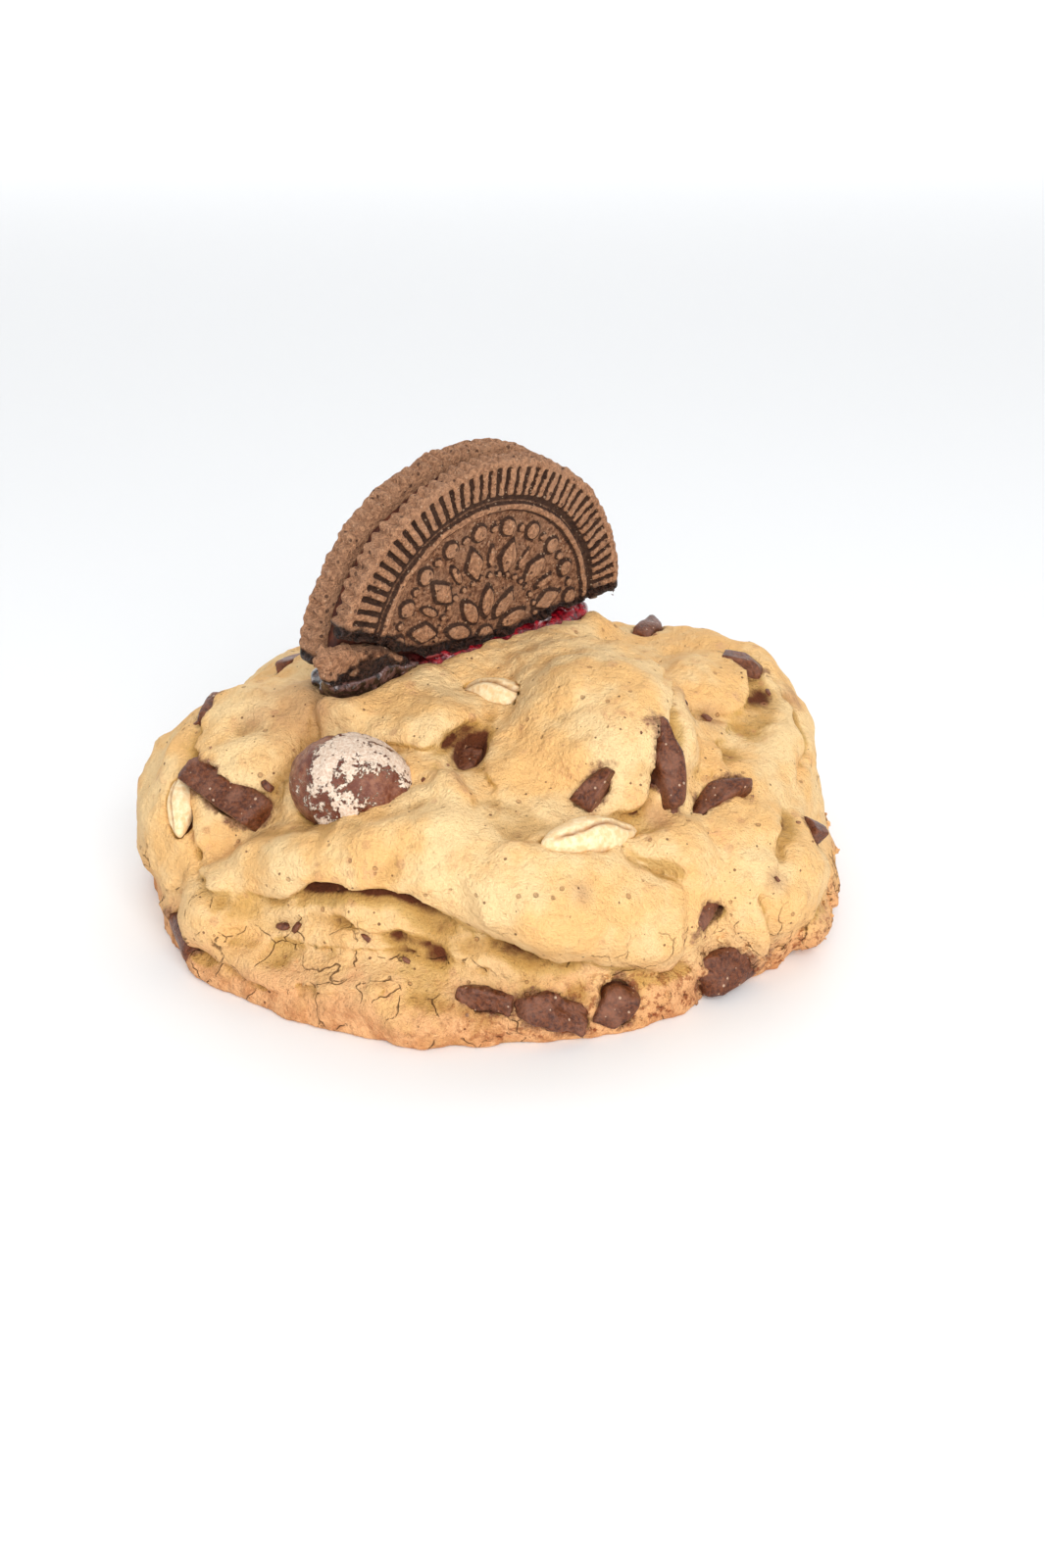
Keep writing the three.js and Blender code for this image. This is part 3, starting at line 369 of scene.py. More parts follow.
def skin(distance, low, high, cell, block=8):
    """Vertices and quads of the surface where a distance is 0, with one vertex a cell."""
    low = np.array(low, float)
    blocks_across = np.ceil((np.array(high) - low) / (cell * block)).astype(int)
    size = blocks_across * block + 1
    blocks = np.argwhere(np.ones(blocks_across, bool))
    middles = low + (blocks + 0.5) * block * cell
    blocks = blocks[np.abs(distance(middles)) < block * cell * 1.1]
    wanted = np.zeros(size, bool)
    for i, j, k in blocks * block:
        wanted[i:i + block + 1, j:j + block + 1, k:k + block + 1] = True
    field = np.full(size, np.nan)
    field[wanted] = distance(low + np.argwhere(wanted) * cell)
    inside = field < 0
    known = wanted[:-1, :-1, :-1] & wanted[1:, 1:, 1:]
    ends = size - 1
    shifted = [tuple(slice(c, c + e) for c, e in zip(corner, ends)) for corner in CORNERS]
    filled = sum(inside[part].astype(np.int8) for part in shifted)
    cells = np.argwhere((filled > 0) & (filled < 8) & known)
    number = np.full(size, -1)
    number[tuple(cells.T)] = np.arange(len(cells))
    total = np.zeros((len(cells), 3))
    crossings = np.zeros(len(cells))
    for a in CORNERS:
        for b in CORNERS:
            if (b - a).sum() == 1 and (b >= a).all():
                start = field[tuple((cells + a).T)]
                end = field[tuple((cells + b).T)]
                crossed = (start < 0) != (end < 0)
                t = np.where(crossed, start / np.where(crossed, start - end, 1), 0)
                total += crossed[:, None] * (a + t[:, None] * (b - a))
                crossings += crossed
    vertices = low + (cells + total / crossings[:, None]) * cell
    quads = []
    for axis in range(3):
        side, other = np.eye(3, dtype=int)[[(axis + 1) % 3, (axis + 2) % 3]]
        crossed = np.argwhere(np.diff(inside.astype(np.int8), axis=axis) != 0)
        crossed = crossed[(crossed @ side > 0) & (crossed @ other > 0)]
        shifts = (side + other, other, 0 * side, side)
        ring = np.column_stack([number[tuple((crossed - shift).T)] for shift in shifts])
        outwards = inside[tuple(crossed.T)]
        ring = np.where(outwards[:, None], ring, ring[:, ::-1])
        quads.append(ring[(ring >= 0).all(axis=1)])
    return vertices, np.vstack(quads)


def new_piece(name, vertices, faces, finish, slot, replaced=(), **marks):
    """A smooth mesh piece from places in millimetres, with marks that give a number for each vertex."""
    mesh = bpy.data.meshes.new(name)
    mesh.from_pydata((np.asarray(vertices) * MM).tolist(), [], np.asarray(faces).tolist())
    mesh.update()
    mesh.polygons.foreach_set("use_smooth", [True] * len(mesh.polygons))
    for mark, values in marks.items():
        mesh.attributes.new(mark, "FLOAT", "POINT").data.foreach_set("value", np.asarray(values, np.float32))
    mesh.materials.append(finish)
    piece = bpy.data.objects.new(name, mesh)
    bpy.context.scene.collection.objects.link(piece)
    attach(piece, "root")
    if replaced:
        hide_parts(*replaced)
    return piece


class Signal:
    """What leaves a node's socket. Sums, differences and products with it add Math nodes."""

    def __init__(self, plan, socket):
        self.plan = plan
        self.socket = socket

    def __add__(self, other):
        return self.plan.math("ADD", self, other)

    def __sub__(self, other):
        return self.plan.math("SUBTRACT", self, other)

    def __rsub__(self, other):
        return self.plan.math("SUBTRACT", other, self)

    def __mul__(self, other):
        return self.plan.math("MULTIPLY", self, other)

    __radd__ = __add__
    __rmul__ = __mul__


class Plan:
    """A node tree that is being drawn up."""

    def __init__(self, tree):
        self.tree = tree

    def node(self, kind, settings=None, inputs=None, output=0):
        node = self.tree.nodes.new(kind)
        for setting, value in (settings or {}).items():
            setattr(node, setting, value)
        for socket, value in (inputs or {}).items():
            if isinstance(value, Signal):
                self.tree.links.new(value.socket, node.inputs[socket])
            else:
                node.inputs[socket].default_value = value
        return Signal(self, node.outputs[output]) if node.outputs else None

    def math(self, operation, first, second=0.0):
        return self.node("ShaderNodeMath", {"operation": operation}, {0: first, 1: second})


def paint(red, green, blue):
    """A screen colour from 0 to 255 as the linear colour that a shader takes."""
    return tuple(((c / 255 + 0.055) / 1.055) ** 2.4 for c in (red, green, blue)) + (1,)


class Finish(Plan):
    """A material with one Principled shader, whose patterns lie in the object's own space."""

    def __init__(self, name, constants):
        self.material = bpy.data.materials.new(name)
        self.material.use_nodes = True
        super().__init__(self.material.node_tree)
        self.shader = self.tree.nodes["Principled BSDF"]
        for socket, value in constants.items():
            self.shader.inputs[socket].default_value = value
        self.place = self.node("ShaderNodeTexCoord", output="Object")
        self.high = self.node("ShaderNodeSeparateXYZ", None, {0: self.place}, "Z")

    def noise(self, size, detail=3, roughness=0.5, distortion=0.0):
        inputs = {"Vector": self.place, "Scale": 1 / (size * MM), "Detail": detail, "Roughness": roughness}
        return self.node("ShaderNodeTexNoise", None, inputs | {"Distortion": distortion})

    def spots(self, size, share, soft=0.06):
        """Round spots, in a given share of cells that are size millimetres across."""
        inputs = {"Vector": self.place, "Scale": 1 / (size * MM)}
        near = self.node("ShaderNodeTexVoronoi", None, inputs, "Distance")
        colour = Signal(self, near.socket.node.outputs["Color"])
        chosen = self.node("ShaderNodeSeparateColor", None, {0: colour})
        radius = self.fade(chosen, 1 - share, 1) * 0.34
        return self.fade(near - radius, soft, -soft)

    def cracks(self, size, width):
        """Thin wandering cracks between cells that are size millimetres across."""
        inputs = {"Vector": self.place, "Scale": 2 / (size * MM)}
        drift = self.node("ShaderNodeTexNoise", None, inputs, "Color")
        inputs = {0: drift, 1: (0.5 * size * MM,) * 3, 2: self.place}
        bent = self.node("ShaderNodeVectorMath", {"operation": "MULTIPLY_ADD"}, inputs)
        inputs = {"Vector": bent, "Scale": 1 / (size * MM)}
        edge = self.node("ShaderNodeTexVoronoi", {"feature": "DISTANCE_TO_EDGE"}, inputs, "Distance")
        return self.fade(edge, width, 0)

    def mark(self, name):
        return self.node("ShaderNodeAttribute", {"attribute_name": name}, None, "Fac")

    def fade(self, signal, low, high):
        """0 at low, 1 at high and smooth between them."""
        smooth = {"interpolation_type": "SMOOTHSTEP"}
        return self.node("ShaderNodeMapRange", smooth, {0: signal, 1: low, 2: high})

    def mix(self, amount, first, second):
        return self.node("ShaderNodeMix", {"data_type": "RGBA"}, {0: amount, 6: first, 7: second}, 2)

    def coats(self, colour, *coats):
        """A colour with others over it, each with how much of it shows."""
        for amount, over in coats:
            colour = self.mix(amount, colour, over)
        return colour

    def surface(self, colour, height, depth, roughness=None):
        """Takes the colour, a bump of the given depth in millimetres, and the roughness where it varies."""
        bump = self.node("ShaderNodeBump", None, {"Strength": 1.0, "Distance": depth * MM, "Height": height})
        self.tree.links.new(colour.socket, self.shader.inputs["Base Color"])
        self.tree.links.new(bump.socket, self.shader.inputs["Normal"])
        if roughness:
            self.tree.links.new(roughness.socket, self.shader.inputs["Roughness"])
        return self.material


# ---- The half sandwich biscuit ----
# Two dark cocoa wafers with a chocolate filling between them, snapped in half and stood in the top of the
# cookie, turned to the left. It is worked out lying flat: X along the broken edge, Y up the biscuit, Z out of
# its face.
BISCUIT_RADIUS = 23.0
WAFER_THICKNESS = 3.0
FILLING_THICKNESS = 1.9
BISCUIT_FOOT = np.array([-0.44, -0.57, 30.9])
BISCUIT_TURN = math.radians(41.5)
BISCUIT_LEAN = math.radians(7.7)
RIDGES_ROUND = 90
RELIEF = 0.6
SERRATION = 0.5
FRONT_BREAK = [
    (-22.4, 4.9), (-20.4, 4.6), (-16.7, 2.9), (-12.2, 0.5), (-9, -0.6), (-2.6, -1.5), (2, -1.1), (7.2, -0.6),
    (12, 0.1), (17.4, 0.7), (22.2, 1.1),
]
BACK_BREAK = [(-22.8, -0.4), (-18, -1.2), (-11, -1.8), (-3, -0.8), (6, -1.3), (15, -0.7), (22.6, 0.4)]
FILLING_BREAK = [(-20.8, -0.6), (-12, -1.4), (-2, -1.6), (10, -0.6), (20.6, 0.6)]
FOOT_LINE_LOW = [(-25.2, 0.8), (-22.7, -1.7), (-17.7, -2.4), (-11.6, -1.3)]
FOOT_LINE_HIGH = [(-25, 3.4), (-23.8, 4.3), (-20.6, 3.9), (-16.9, 2.3), (-12.4, -0.1), (-11.6, -1.2)]
biscuit_depth = 2 * WAFER_THICKNESS + FILLING_THICKNESS
upright = Matrix.Rotation(math.pi / 2 + BISCUIT_LEAN, 3, "X")
biscuit_axes = np.array(Matrix.Rotation(BISCUIT_TURN, 3, "Z") @ upright)


def stand(local):
    return BISCUIT_FOOT + local @ biscuit_axes.T


def lay(points):
    return (points - BISCUIT_FOOT) @ biscuit_axes


def along_line(line, x):
    return np.interp(x, *zip(*line))


def band(value, low, high, soft):
    """1 between low and high, 0 outside, with soft edges."""
    t = np.clip(np.minimum(value - low, high - value) / soft + 0.5, 0, 1)
    return t * t * (3 - 2 * t)


def ring_of(radius, angle, at, first, pitch, long, wide, power):
    """Bumps at equal angles round the middle; the higher the power, the squarer they are."""
    turn = (angle - first + pitch / 2) % pitch - pitch / 2
    u = np.abs((radius - at) / long)
    v = np.abs(radius * np.radians(turn) / wide)
    return band((u**power + v**power) ** (1 / power), -9, 0.85, 0.5)


def relief(x, y):
    """The pressed pattern, 1 high and 0 in the field: ridges, and rings of beads, lozenges and petals."""
    radius = np.hypot(x, y)
    angle = np.degrees(np.arctan2(y, x))
    wave = np.cos(np.radians(angle * RIDGES_ROUND)) + 0.25 * grain(np.column_stack([x, y, 0 * x]), 1.6, 5)
    ridges = band(radius, 18.2, 23, 0.8) * np.clip(1.05 + 1.7 * wave, 0, 1)
    shapes = [
        ridges,
        band(radius, 21.7, 24, 0.7),
        band(radius, 16.35, 17.25, 0.5),
        ring_of(radius, angle, 14.2, 9, 18, 1.25, 1.25, 2),
        ring_of(radius, angle, 14.2, 0, 18, 0.6, 0.6, 2),
        ring_of(radius, angle, 10.4, 15, 30, 2.6, 1.5, 1.2),
        ring_of(radius, angle, 10.6, 0, 30, 1.6, 0.6, 2),
        ring_of(radius, angle, 8.1, 0, 10, 0.45, 0.45, 2),
        ring_of(radius, angle, 4.6, 18, 36, 2.4, 1.2, 1.6),
        band(radius, -1, 1.3, 0.5),
    ]
    return np.maximum.reduce(shapes)


def wafer_distance(local, line, seed):
    """Distance from a wafer that lies with its pressed face up at z = 0."""
    x, y, z = local.T
    radius = np.hypot(x, y)
    angle = np.arctan2(y, x)
    worn = 0.14 * rough(local, 2.6, 2, seed) + 0.1 * rough(local, 0.8, 2, seed + 7)
    worn += 0.5 * np.clip(0.3 - pits(local, 1.5, seed + 9), 0, 1)
    face = (z - RELIEF * (relief(x, y) - 1)) * 0.8
    teeth = 1.5 * SERRATION * (1 - np.abs(np.cos(angle * RIDGES_ROUND / 2))) * band(z, -9, -0.5, 1)
    side = radius - BISCUIT_RADIUS + teeth
    ragged = 0.35 * rough(local, 1.6, 2, seed + 3)
    broken = (along_line(line, x) - y + ragged) * 0.9
    flat = smooth_max(face, -WAFER_THICKNESS - z, 0.5)
    return smooth_max(smooth_max(flat, side, 0.7), broken, 0.4) + worn


def turned_back(local):
    """The back wafer faces the other way, behind the filling."""
    return np.column_stack([-local[:, 0], local[:, 1], -local[:, 2] - biscuit_depth])


def filling_distance(local):
    x, y, z = local.T
    side = np.hypot(x, y) - 21.1 + 0.35 * rough(local, 3, 2, 31)
    layer = np.abs(z + WAFER_THICKNESS + FILLING_THICKNESS / 2) - FILLING_THICKNESS / 2 - 0.05
    broken = along_line(FILLING_BREAK, x) - y + 0.2 * grain(local, 1.4, 33)
    return smooth_max(smooth_max(side, layer, 0.3), broken, 0.4)


def foot_distance(local):
    """The flake that broke off the front wafer's left end and is stuck on again with jam."""
    x, y, z = local.T
    outline = np.maximum(along_line(FOOT_LINE_LOW, x) - y, y - along_line(FOOT_LINE_HIGH, x))
    outline = smooth_max(outline, np.maximum(-25.3 - x, x + 11.6), 1)
    layer = np.abs(z + WAFER_THICKNESS / 2 - 0.1) - WAFER_THICKNESS / 2 - 0.05
    lump = ((local - (-18.4, 0.8, -1.5)) / (8.6, 4.6, 2.6))
    bulk = (np.linalg.norm(lump, axis=1) - 1) * 2.4
    return smooth_max(smooth_max(outline * 0.85, layer, 1.2), bulk, 0.8) + 0.5 * rough(local, 2.4, 4, 41)


cocoa = Finish("cocoa wafer", {"Specular IOR Level": 0.4})
crumb = cocoa.noise(0.5, 4, 0.75)
patches = cocoa.noise(3.2, 3)
wet = cocoa.mark("wet")
# The hollow mark says how deep a place lies in the pressed pattern; the finish paints shade and highlight
# from it.
hollow = cocoa.mark("hollow")
sugar = cocoa.spots(0.42, 0.3)
# Small pits: sunk by the bump and painted near black as the shade in them.
shaded_pits = cocoa.spots(0.75, 0.35)
brown = cocoa.coats(
    cocoa.mix(cocoa.fade(crumb, 0.36, 0.66), paint(118, 70, 42), paint(226, 166, 124)),
    (cocoa.fade(patches, 0.42, 0.68) * 0.45, paint(206, 156, 122)),
    # painted highlight on the raised tops of the pressed pattern
    (cocoa.fade(hollow, 0.3, 0) * 0.3, paint(222, 168, 128)),
    # painted shade in the grooves and on the slopes of the raised pattern
    (cocoa.fade(hollow, 0.1, 0.7) * 0.9, paint(50, 24, 10)),
    (sugar * 0.55, paint(236, 196, 160)),
    # painted shade in the small pits
    (shaded_pits * 0.7, paint(56, 28, 14)),
)
soaked = cocoa.mix(cocoa.fade(crumb, 0.4, 0.65), paint(26, 12, 8), paint(84, 56, 44))
brown = cocoa.mix(cocoa.fade(wet + (patches - 0.5) * 0.6, 0.35, 0.7), brown, soaked)
bumps = crumb * 1.6 + cocoa.noise(0.25, 2) * 0.6 - shaded_pits
cocoa.surface(brown, bumps, 0.55, 0.86 - cocoa.fade(wet, 0.35, 0.7) * 0.66)

WAFER_CELL = 0.23


def wafer_marks(local, line, seed):
    """How wet with jam each vertex is, and how deep in the pattern, for its painted shade and highlight."""
    x, y, z = local.T
    edge = y - along_line(line, x) + 0.6 * rough(local, 3, 3, seed)
    wet = np.clip((2.4 - edge) / 1.8, 0, 1)
    high = relief(x, y)
    grooves = np.clip(1 - high, 0, 1) * band(np.hypot(x, y), 17.6, 22.4, 0.8)
    # High in the grooves and on the slopes of raised shapes, where shade is painted; 0 on the tops, where
    # highlight is painted.
    hollow = np.maximum(grooves, band(high, 0.04, 0.7, 0.3)) * band(z, -1.2, 9, 0.2)
    return {"wet": wet, "hollow": hollow}


wafer_low = (-24, -3.5, -WAFER_THICKNESS - 1)
wafer_high = (24, 24, 1)
vertices, faces = skin(lambda p: wafer_distance(p, FRONT_BREAK, 1), wafer_low, wafer_high, WAFER_CELL)
marks = wafer_marks(vertices, FRONT_BREAK, 2)
new_piece("front_wafer", stand(vertices), faces, cocoa.material, "wafer", ["wafer_front"], **marks)
back_line = [(-x, y) for x, y in reversed(BACK_BREAK)]
vertices, faces = skin(lambda p: wafer_distance(p, back_line, 11), wafer_low, wafer_high, WAFER_CELL)
marks = wafer_marks(vertices, back_line, 12)
new_piece("back_wafer", stand(turned_back(vertices)), faces, cocoa.material, "wafer", ["wafer_back"], **marks)
vertices, faces = skin(foot_distance, (-27, -4, -5), (-10, 6, 2), WAFER_CELL)
soaked = np.clip((1.8 - vertices[:, 1] + 1.4 * rough(vertices, 2, 3, 5)) / 2, 0.1, 1)
# Random patches of the wafer finish's painted shade and highlight on the flake.
marks = {"wet": soaked, "hollow": np.clip(0.8 * rough(vertices, 3, 3, 9), 0, 1)}
new_piece("wafer_flake", stand(vertices), faces, cocoa.material, "wafer", ["wafer_foot"], **marks)

creme = Finish("cocoa filling", {"Roughness": 0.6})
smear = creme.noise(1.4, 4, 0.6)
creme.surface(creme.mix(creme.fade(smear, 0.35, 0.7), paint(58, 22, 14), paint(112, 58, 36)), smear, 0.2)
vertices, faces = skin(filling_distance, (-23, -4, -6), (23, 23, -2), 0.45)
new_piece("filling_layer", stand(vertices), faces, creme.material, "filling", ["filling"])

# ---- The jam ----
# Dark red jam that the biscuit stands in: a bead under the broken edges, and a wet coat that has crept up the
# lower edge of the front wafer.
JAM_HALF = np.array([21.6, 2.2, biscuit_depth / 2 + 1.0])
JAM_MIDDLE = np.array([-1, -2.6, -biscuit_depth / 2])
JAM_CORNER = 2 / 0.62


def bead_distance(local, clearance=0.0):
    x, y, z = (local - JAM_MIDDLE).T
    y = y - 0.035 * x - 0.0025 * x * x + 0.6
    half = JAM_HALF + clearance
    along = np.abs(x / half[0])
    wave = 1 + 0.12 * np.sin(5 * np.sign(x) * along**1.61 + 1) + 0.06 * np.sin(11 * np.sign(x) * along**1.61)
    deep = np.abs(z / (half[2] * (0.9 + 0.1 * wave)))
    k = along**JAM_CORNER + (y / (half[1] * wave)) ** 2 + deep**JAM_CORNER
    return (np.sqrt(k) - 1) * JAM_HALF[1] * 0.9


def jam_distance(local):
    x, y, z = local.T
    lumps = 0.25 * grain(local, 2.6, 51) + 0.1 * grain(local, 1.2, 52)
    bead = bead_distance(local) + lumps
    shore = np.minimum(along_line(FRONT_BREAK, x), along_line([(-25, -0.9), (-12, -0.4), (-9, 9)], x))
    creep = y - shore - 0.1 - 0.7 * rough(local, 2.6, 3, 55)
    stuck = np.minimum(wafer_distance(local, FRONT_BREAK, 1), foot_distance(local))
    stuck = stuck - 0.3 - 0.12 * grain(local, 0.8, 57)
    coat = smooth_max(smooth_max(stuck, creep, 0.7), -WAFER_THICKNESS - z, 0.5)
    return smooth_min(bead, coat, 0.6)


jam = Finish("dark red jam", {"Roughness": 0.12, "Coat Weight": 0.8, "Coat Roughness": 0.06})
seeds = jam.noise(0.8, 3)
thin = jam.mark("thin")
red = jam.mix(jam.fade(seeds, 0.38, 0.66), paint(92, 4, 18), paint(176, 22, 36))
film = jam.mix(jam.fade(seeds, 0.4, 0.62), paint(30, 16, 14), paint(98, 66, 60))
jam.surface(jam.mix(thin, red, film), seeds + jam.noise(0.35, 2) * 0.6, 0.36)
vertices, faces = skin(jam_distance, (-27, -8, -12), (24, 6, 4), 0.3)
thin_film = np.clip(np.maximum((bead_distance(vertices) - 0.3) / 0.6, (-7 - vertices[:, 0]) / 4), 0, 1)
new_piece("jam_bead", stand(vertices), faces, jam.material, "jam", ["jam"], thin=thin_film)

# ---- The chocolate chunks, the ball and the nuts ----
# Broken chocolate, pale slivers of nut and one chocolate ball rolled in flour, all pushed into the dough
# before it was baked. Each has a bearing on the dough, its full sizes (long, high, deep), a turn about the
# way out of the dough, how far its middle stands out, and how much wider it is at the end of its length than
# in the middle.
CHUNKS = {
    "chocolate_slab_left": ((-54, 17), (12.5, 4.6, 5), -20, -1.8, 0),
    "chocolate_top_right": ((39.5, 27.5), (10.4, 3.8, 5), 84, -1.8, -0.5),
    "chocolate_right_sliver": ((47.5, 18.5), (9.5, 3.2, 5), 30, -1.8, 0.4),
    "chocolate_top_sliver": ((22, 26), (5.6, 2.3, 3), 62, -0.8, -0.5),
    "chocolate_right_low": ((35.4, 3.8), (7.4, 3.6, 4), 20, -1.2, 0),
    "chocolate_rim_right": ((40, -6.4), (10.6, 5.2, 5.2), 6, -1.3, 0),
    "chocolate_rim_front": ((19, -6.4), (5, 4.2, 4.6), 60, -1.5, 0),
    "chocolate_smear_front": ((9.4, -5.2), (8.4, 3.8, 3), -24, -0.9, 0),
    "chocolate_smear_middle": ((0.2, -2.6), (6.4, 1.6, 2.4), -24, -0.7, 0),
    "chocolate_right_side": ((61, 8.5), (3.4, 2.8, 3), 30, -0.8, 0),
    "chocolate_far_right": ((92, 31), (5.8, 2.8, 3.6), -40, -1.1, 0),
    "chocolate_skyline_right": ((124, 37), (7, 2.6, 3.4), 10, -0.8, 0),
    "chocolate_skyline_left": ((-112, 27), (5.6, 3, 3.4), 15, -0.8, 0),
    "chocolate_left_edge": ((-74, 26), (5, 2.2, 3), -30, -0.8, 0),
    "chocolate_rim_left": ((-54, -5.6), (9, 3.6, 4.2), -8, -1.4, 0),
    "chocolate_cleft": ((-5, 36.6), (6.4, 3.2, 4), 58, -4.2, -0.3),
    "chocolate_back_high": ((172, 38), (10, 5.4, 5.5), 25, -2.0, 0.3),
    "chocolate_back_right": ((142, 17), (8, 4.4, 5), -35, -1.8, 0),
    "chocolate_back_rim": ((186, -5), (9, 4, 4.6), 3, -1.5, 0),
    "chocolate_back_left": ((-138, 22), (9, 4.6, 5), 40, -1.8, -0.3),
    "chocolate_back_rim_right": ((118, -5.5), (7, 3.6, 4.6), -6, -1.5, 0),
}
NUTS = {
    "nut_left": ((-60.5, 12.6), (7.8, 3.2, 3.6), -58, -0.9, 0.1),
    "nut_middle": ((18.8, 19), (13.4, 4.6, 5), -24, -1.0, 0.1),
    "nut_top": ((4, 60), (10.4, 5, 4.4), 26, -1.4, 0.1),
    "nut_back": ((205, 30), (10.5, 4.6, 4.6), -30, -1.4, 0.1),
}
BALL = ((-31, 25.6), (15, 11.4, 12), 2, -0.8, 0)


def placement(bearing, turn, out):
    """The middle of a chunk, and its axes as rows: its length, its height and the way out of the dough."""
    point = seat(bearing)[0]
    steps = 0.4 * np.vstack([np.eye(3), -np.eye(3)])
    slopes = smooth_dough(point + steps)
    away = slopes[:3] - slopes[3:]
    away /= np.linalg.norm(away)
    side = np.cross((0, 0, 1), away)
    side /= np.linalg.norm(side)
    high = np.cross(away, side)
    long = side * math.cos(math.radians(turn)) + high * math.sin(math.radians(turn))
    return point[0] + out * away, np.array([long, np.cross(away, long), away])


TIP = math.radians(18)  # chunks dip under the dough at their upper side
sunk = {}
for name, (bearing, size, turn, out, taper) in {**CHUNKS, **NUTS, "chocolate_ball": BALL}.items():
    middle, (long, across, away) = placement(bearing, turn, out)
    tip = TIP if name in CHUNKS else 0
    across, away = (math.cos(tip) * across - math.sin(tip) * away,
                    math.cos(tip) * away + math.sin(tip) * across)
    sunk[name] = (middle, np.array([long, across, away]), np.array(size) / 2, taper)


def round_mesh(subdivisions):
    shape = bmesh.new()
    bmesh.ops.create_icosphere(shape, subdivisions=subdivisions, radius=1)
    directions = np.array([v.co[:] for v in shape.verts])
    triangles = [[v.index for v in f.verts] for f in shape.faces]
    shape.free()
    return directions, triangles


def facets(directions, seed, blunt=26):
    """How far out a stone with flat broken faces reaches in each direction."""
    draw = np.random.default_rng(seed)
    sides = np.vstack([np.eye(3), -np.eye(3), draw.normal(size=(5, 3))])
    sides /= np.linalg.norm(sides, axis=1)[:, None]
    reach = np.concatenate([draw.uniform(0.84, 1.0, 6), draw.uniform(0.78, 1.05, 5)])
    return (np.clip(directions @ sides.T / reach, 0, None) ** blunt).sum(axis=1) ** (-1 / blunt)


chocolate = Finish("dark milk chocolate", {"Specular IOR Level": 0.36})
bloom = chocolate.noise(2.2, 5, 0.62)
cloudy = chocolate.fade(bloom, 0.42, 0.66)
scuffs = chocolate.noise(0.4, 4, 0.65)
brown = chocolate.coats(
    chocolate.mix(chocolate.fade(scuffs, 0.3, 0.72), paint(64, 28, 14), paint(124, 68, 38)),
    (cloudy * 0.45, paint(156, 108, 86)),
    (chocolate.spots(0.5, 0.16) * 0.6, paint(222, 190, 160)),
)
chocolate.surface(brown, scuffs + bloom * 1.4, 0.2, 0.32 + cloudy * 0.25)

directions, triangles = round_mesh(4)
for number, name in enumerate(CHUNKS):
    middle, axes, half, taper = sunk[name]
    shape = directions * facets(directions, number + 20)[:, None] * half
    shape[:, 1:] *= 1 + taper * directions[:, :1]
    melted = 0.55 if "smear" in name else 0.1
    shape += melted * directions * rough(shape + 50 * number, 1.8, 3, number)[:, None]
    new_piece(name + "_chunk", middle + shape @ axes, triangles, chocolate.material, "chocolate", [name])

kernel = Finish("pale nut", {"Roughness": 0.5})
fibre = kernel.noise(0.7, 4, 0.6)
split = kernel.mark("split")
cream = kernel.coats(
    kernel.mix(kernel.fade(fibre, 0.35, 0.7), paint(236, 198, 144), paint(250, 228, 186)),
    # painted shade along the carved groove
    (split, paint(150, 92, 44)),
    (kernel.spots(1.1, 0.12) * 0.5, paint(196, 136, 84)),
)
kernel.surface(cream, fibre, 0.16)
for number, name in enumerate(NUTS):
    middle, axes, half, taper = sunk[name]
    x, y, z = directions.T
    shape = directions * half
    shape[:, 1:] *= (1 - 0.3 * x * x - taper * x)[:, None]
    groove = np.exp(-(((y + 0.12 - 0.1 * np.sin(5 * x + number)) / 0.09) ** 2)) * band(x, -0.8, 0.8, 0.3)
    ribs = 0.04 * np.sin(12 * y + 2 * x) * (1 - x * x)
    shape -= directions * (0.45 * groove - ribs + 0.16 * rough(shape, 2.2, 3, number + 60))[:, None]
    places = middle + shape @ axes
    new_piece(name + "_sliver", places, triangles, kernel.material, "nut", [name], split=groove)

floury = Finish("floury chocolate", {"Specular IOR Level": 0.5})
dust = floury.mark("flour")
grit = floury.noise(0.3, 4, 0.7)
flakes = floury.noise(1.1, 4, 0.65)
bare = floury.mix(floury.fade(flakes, 0.35, 0.65), paint(104, 48, 28), paint(152, 98, 70))
crust = floury.mix(floury.fade(grit, 0.3, 0.7), paint(206, 172, 146), paint(240, 222, 202))
crusted = floury.fade(dust + (flakes - 0.5) * 1.6 + (grit - 0.5) * 0.7, 0.44, 0.54)
floury.surface(floury.mix(crusted, bare, crust), crusted + grit * 0.4, 0.35, 0.38 + crusted * 0.5)
middle, axes, half, _ = sunk["chocolate_ball"]
directions, triangles = round_mesh(6)
shape = directions * half
flour = 0.62 + 0.3 * rough(shape, 3, 3, 71) - 0.5 * band(directions[:, 0], -2, -0.3, 0.5)
flour = np.clip(flour - 0.3 * band(directions[:, 0], 0.55, 2, 0.3) * band(directions[:, 1], -2, 0, 0.3), 0, 1)
shape += directions * (0.28 * band(flour, 0.45, 9, 0.12) + 0.14 * rough(shape, 1.2, 3, 72))[:, None]
places = middle + shape @ axes
new_piece("floury_ball", places, triangles, floury.material, "floury_chocolate", ["chocolate_ball"],
          flour=flour)

# ---- The dough's skin ----
# The distance above with its fine relief: crumbly at the rim and in the folds, smooth on top, with pockets
# for what is pushed into it. It is matt and pale gold, toasted at the rim, with painted shade from olive to
# dark red-brown in the folds.
DOUGH_CELL = 0.53
# Darker patches at bearings, with how far each reaches: the large one high on the upper left is painted
# shade, the small ones are grey tints where chocolate lies under thin dough.
TINTS_AND_SHADE = [
    (-56, 39, 13), (-60, 30, 4), (59, 35, 4), (70, 29, 4), (33, 19, 3), (45, 7, 3), (14, 12, 3), (-44, 28, 5),
    (88, 22, 4), (-5, 30, 3),
]
FLOOR = 0.0


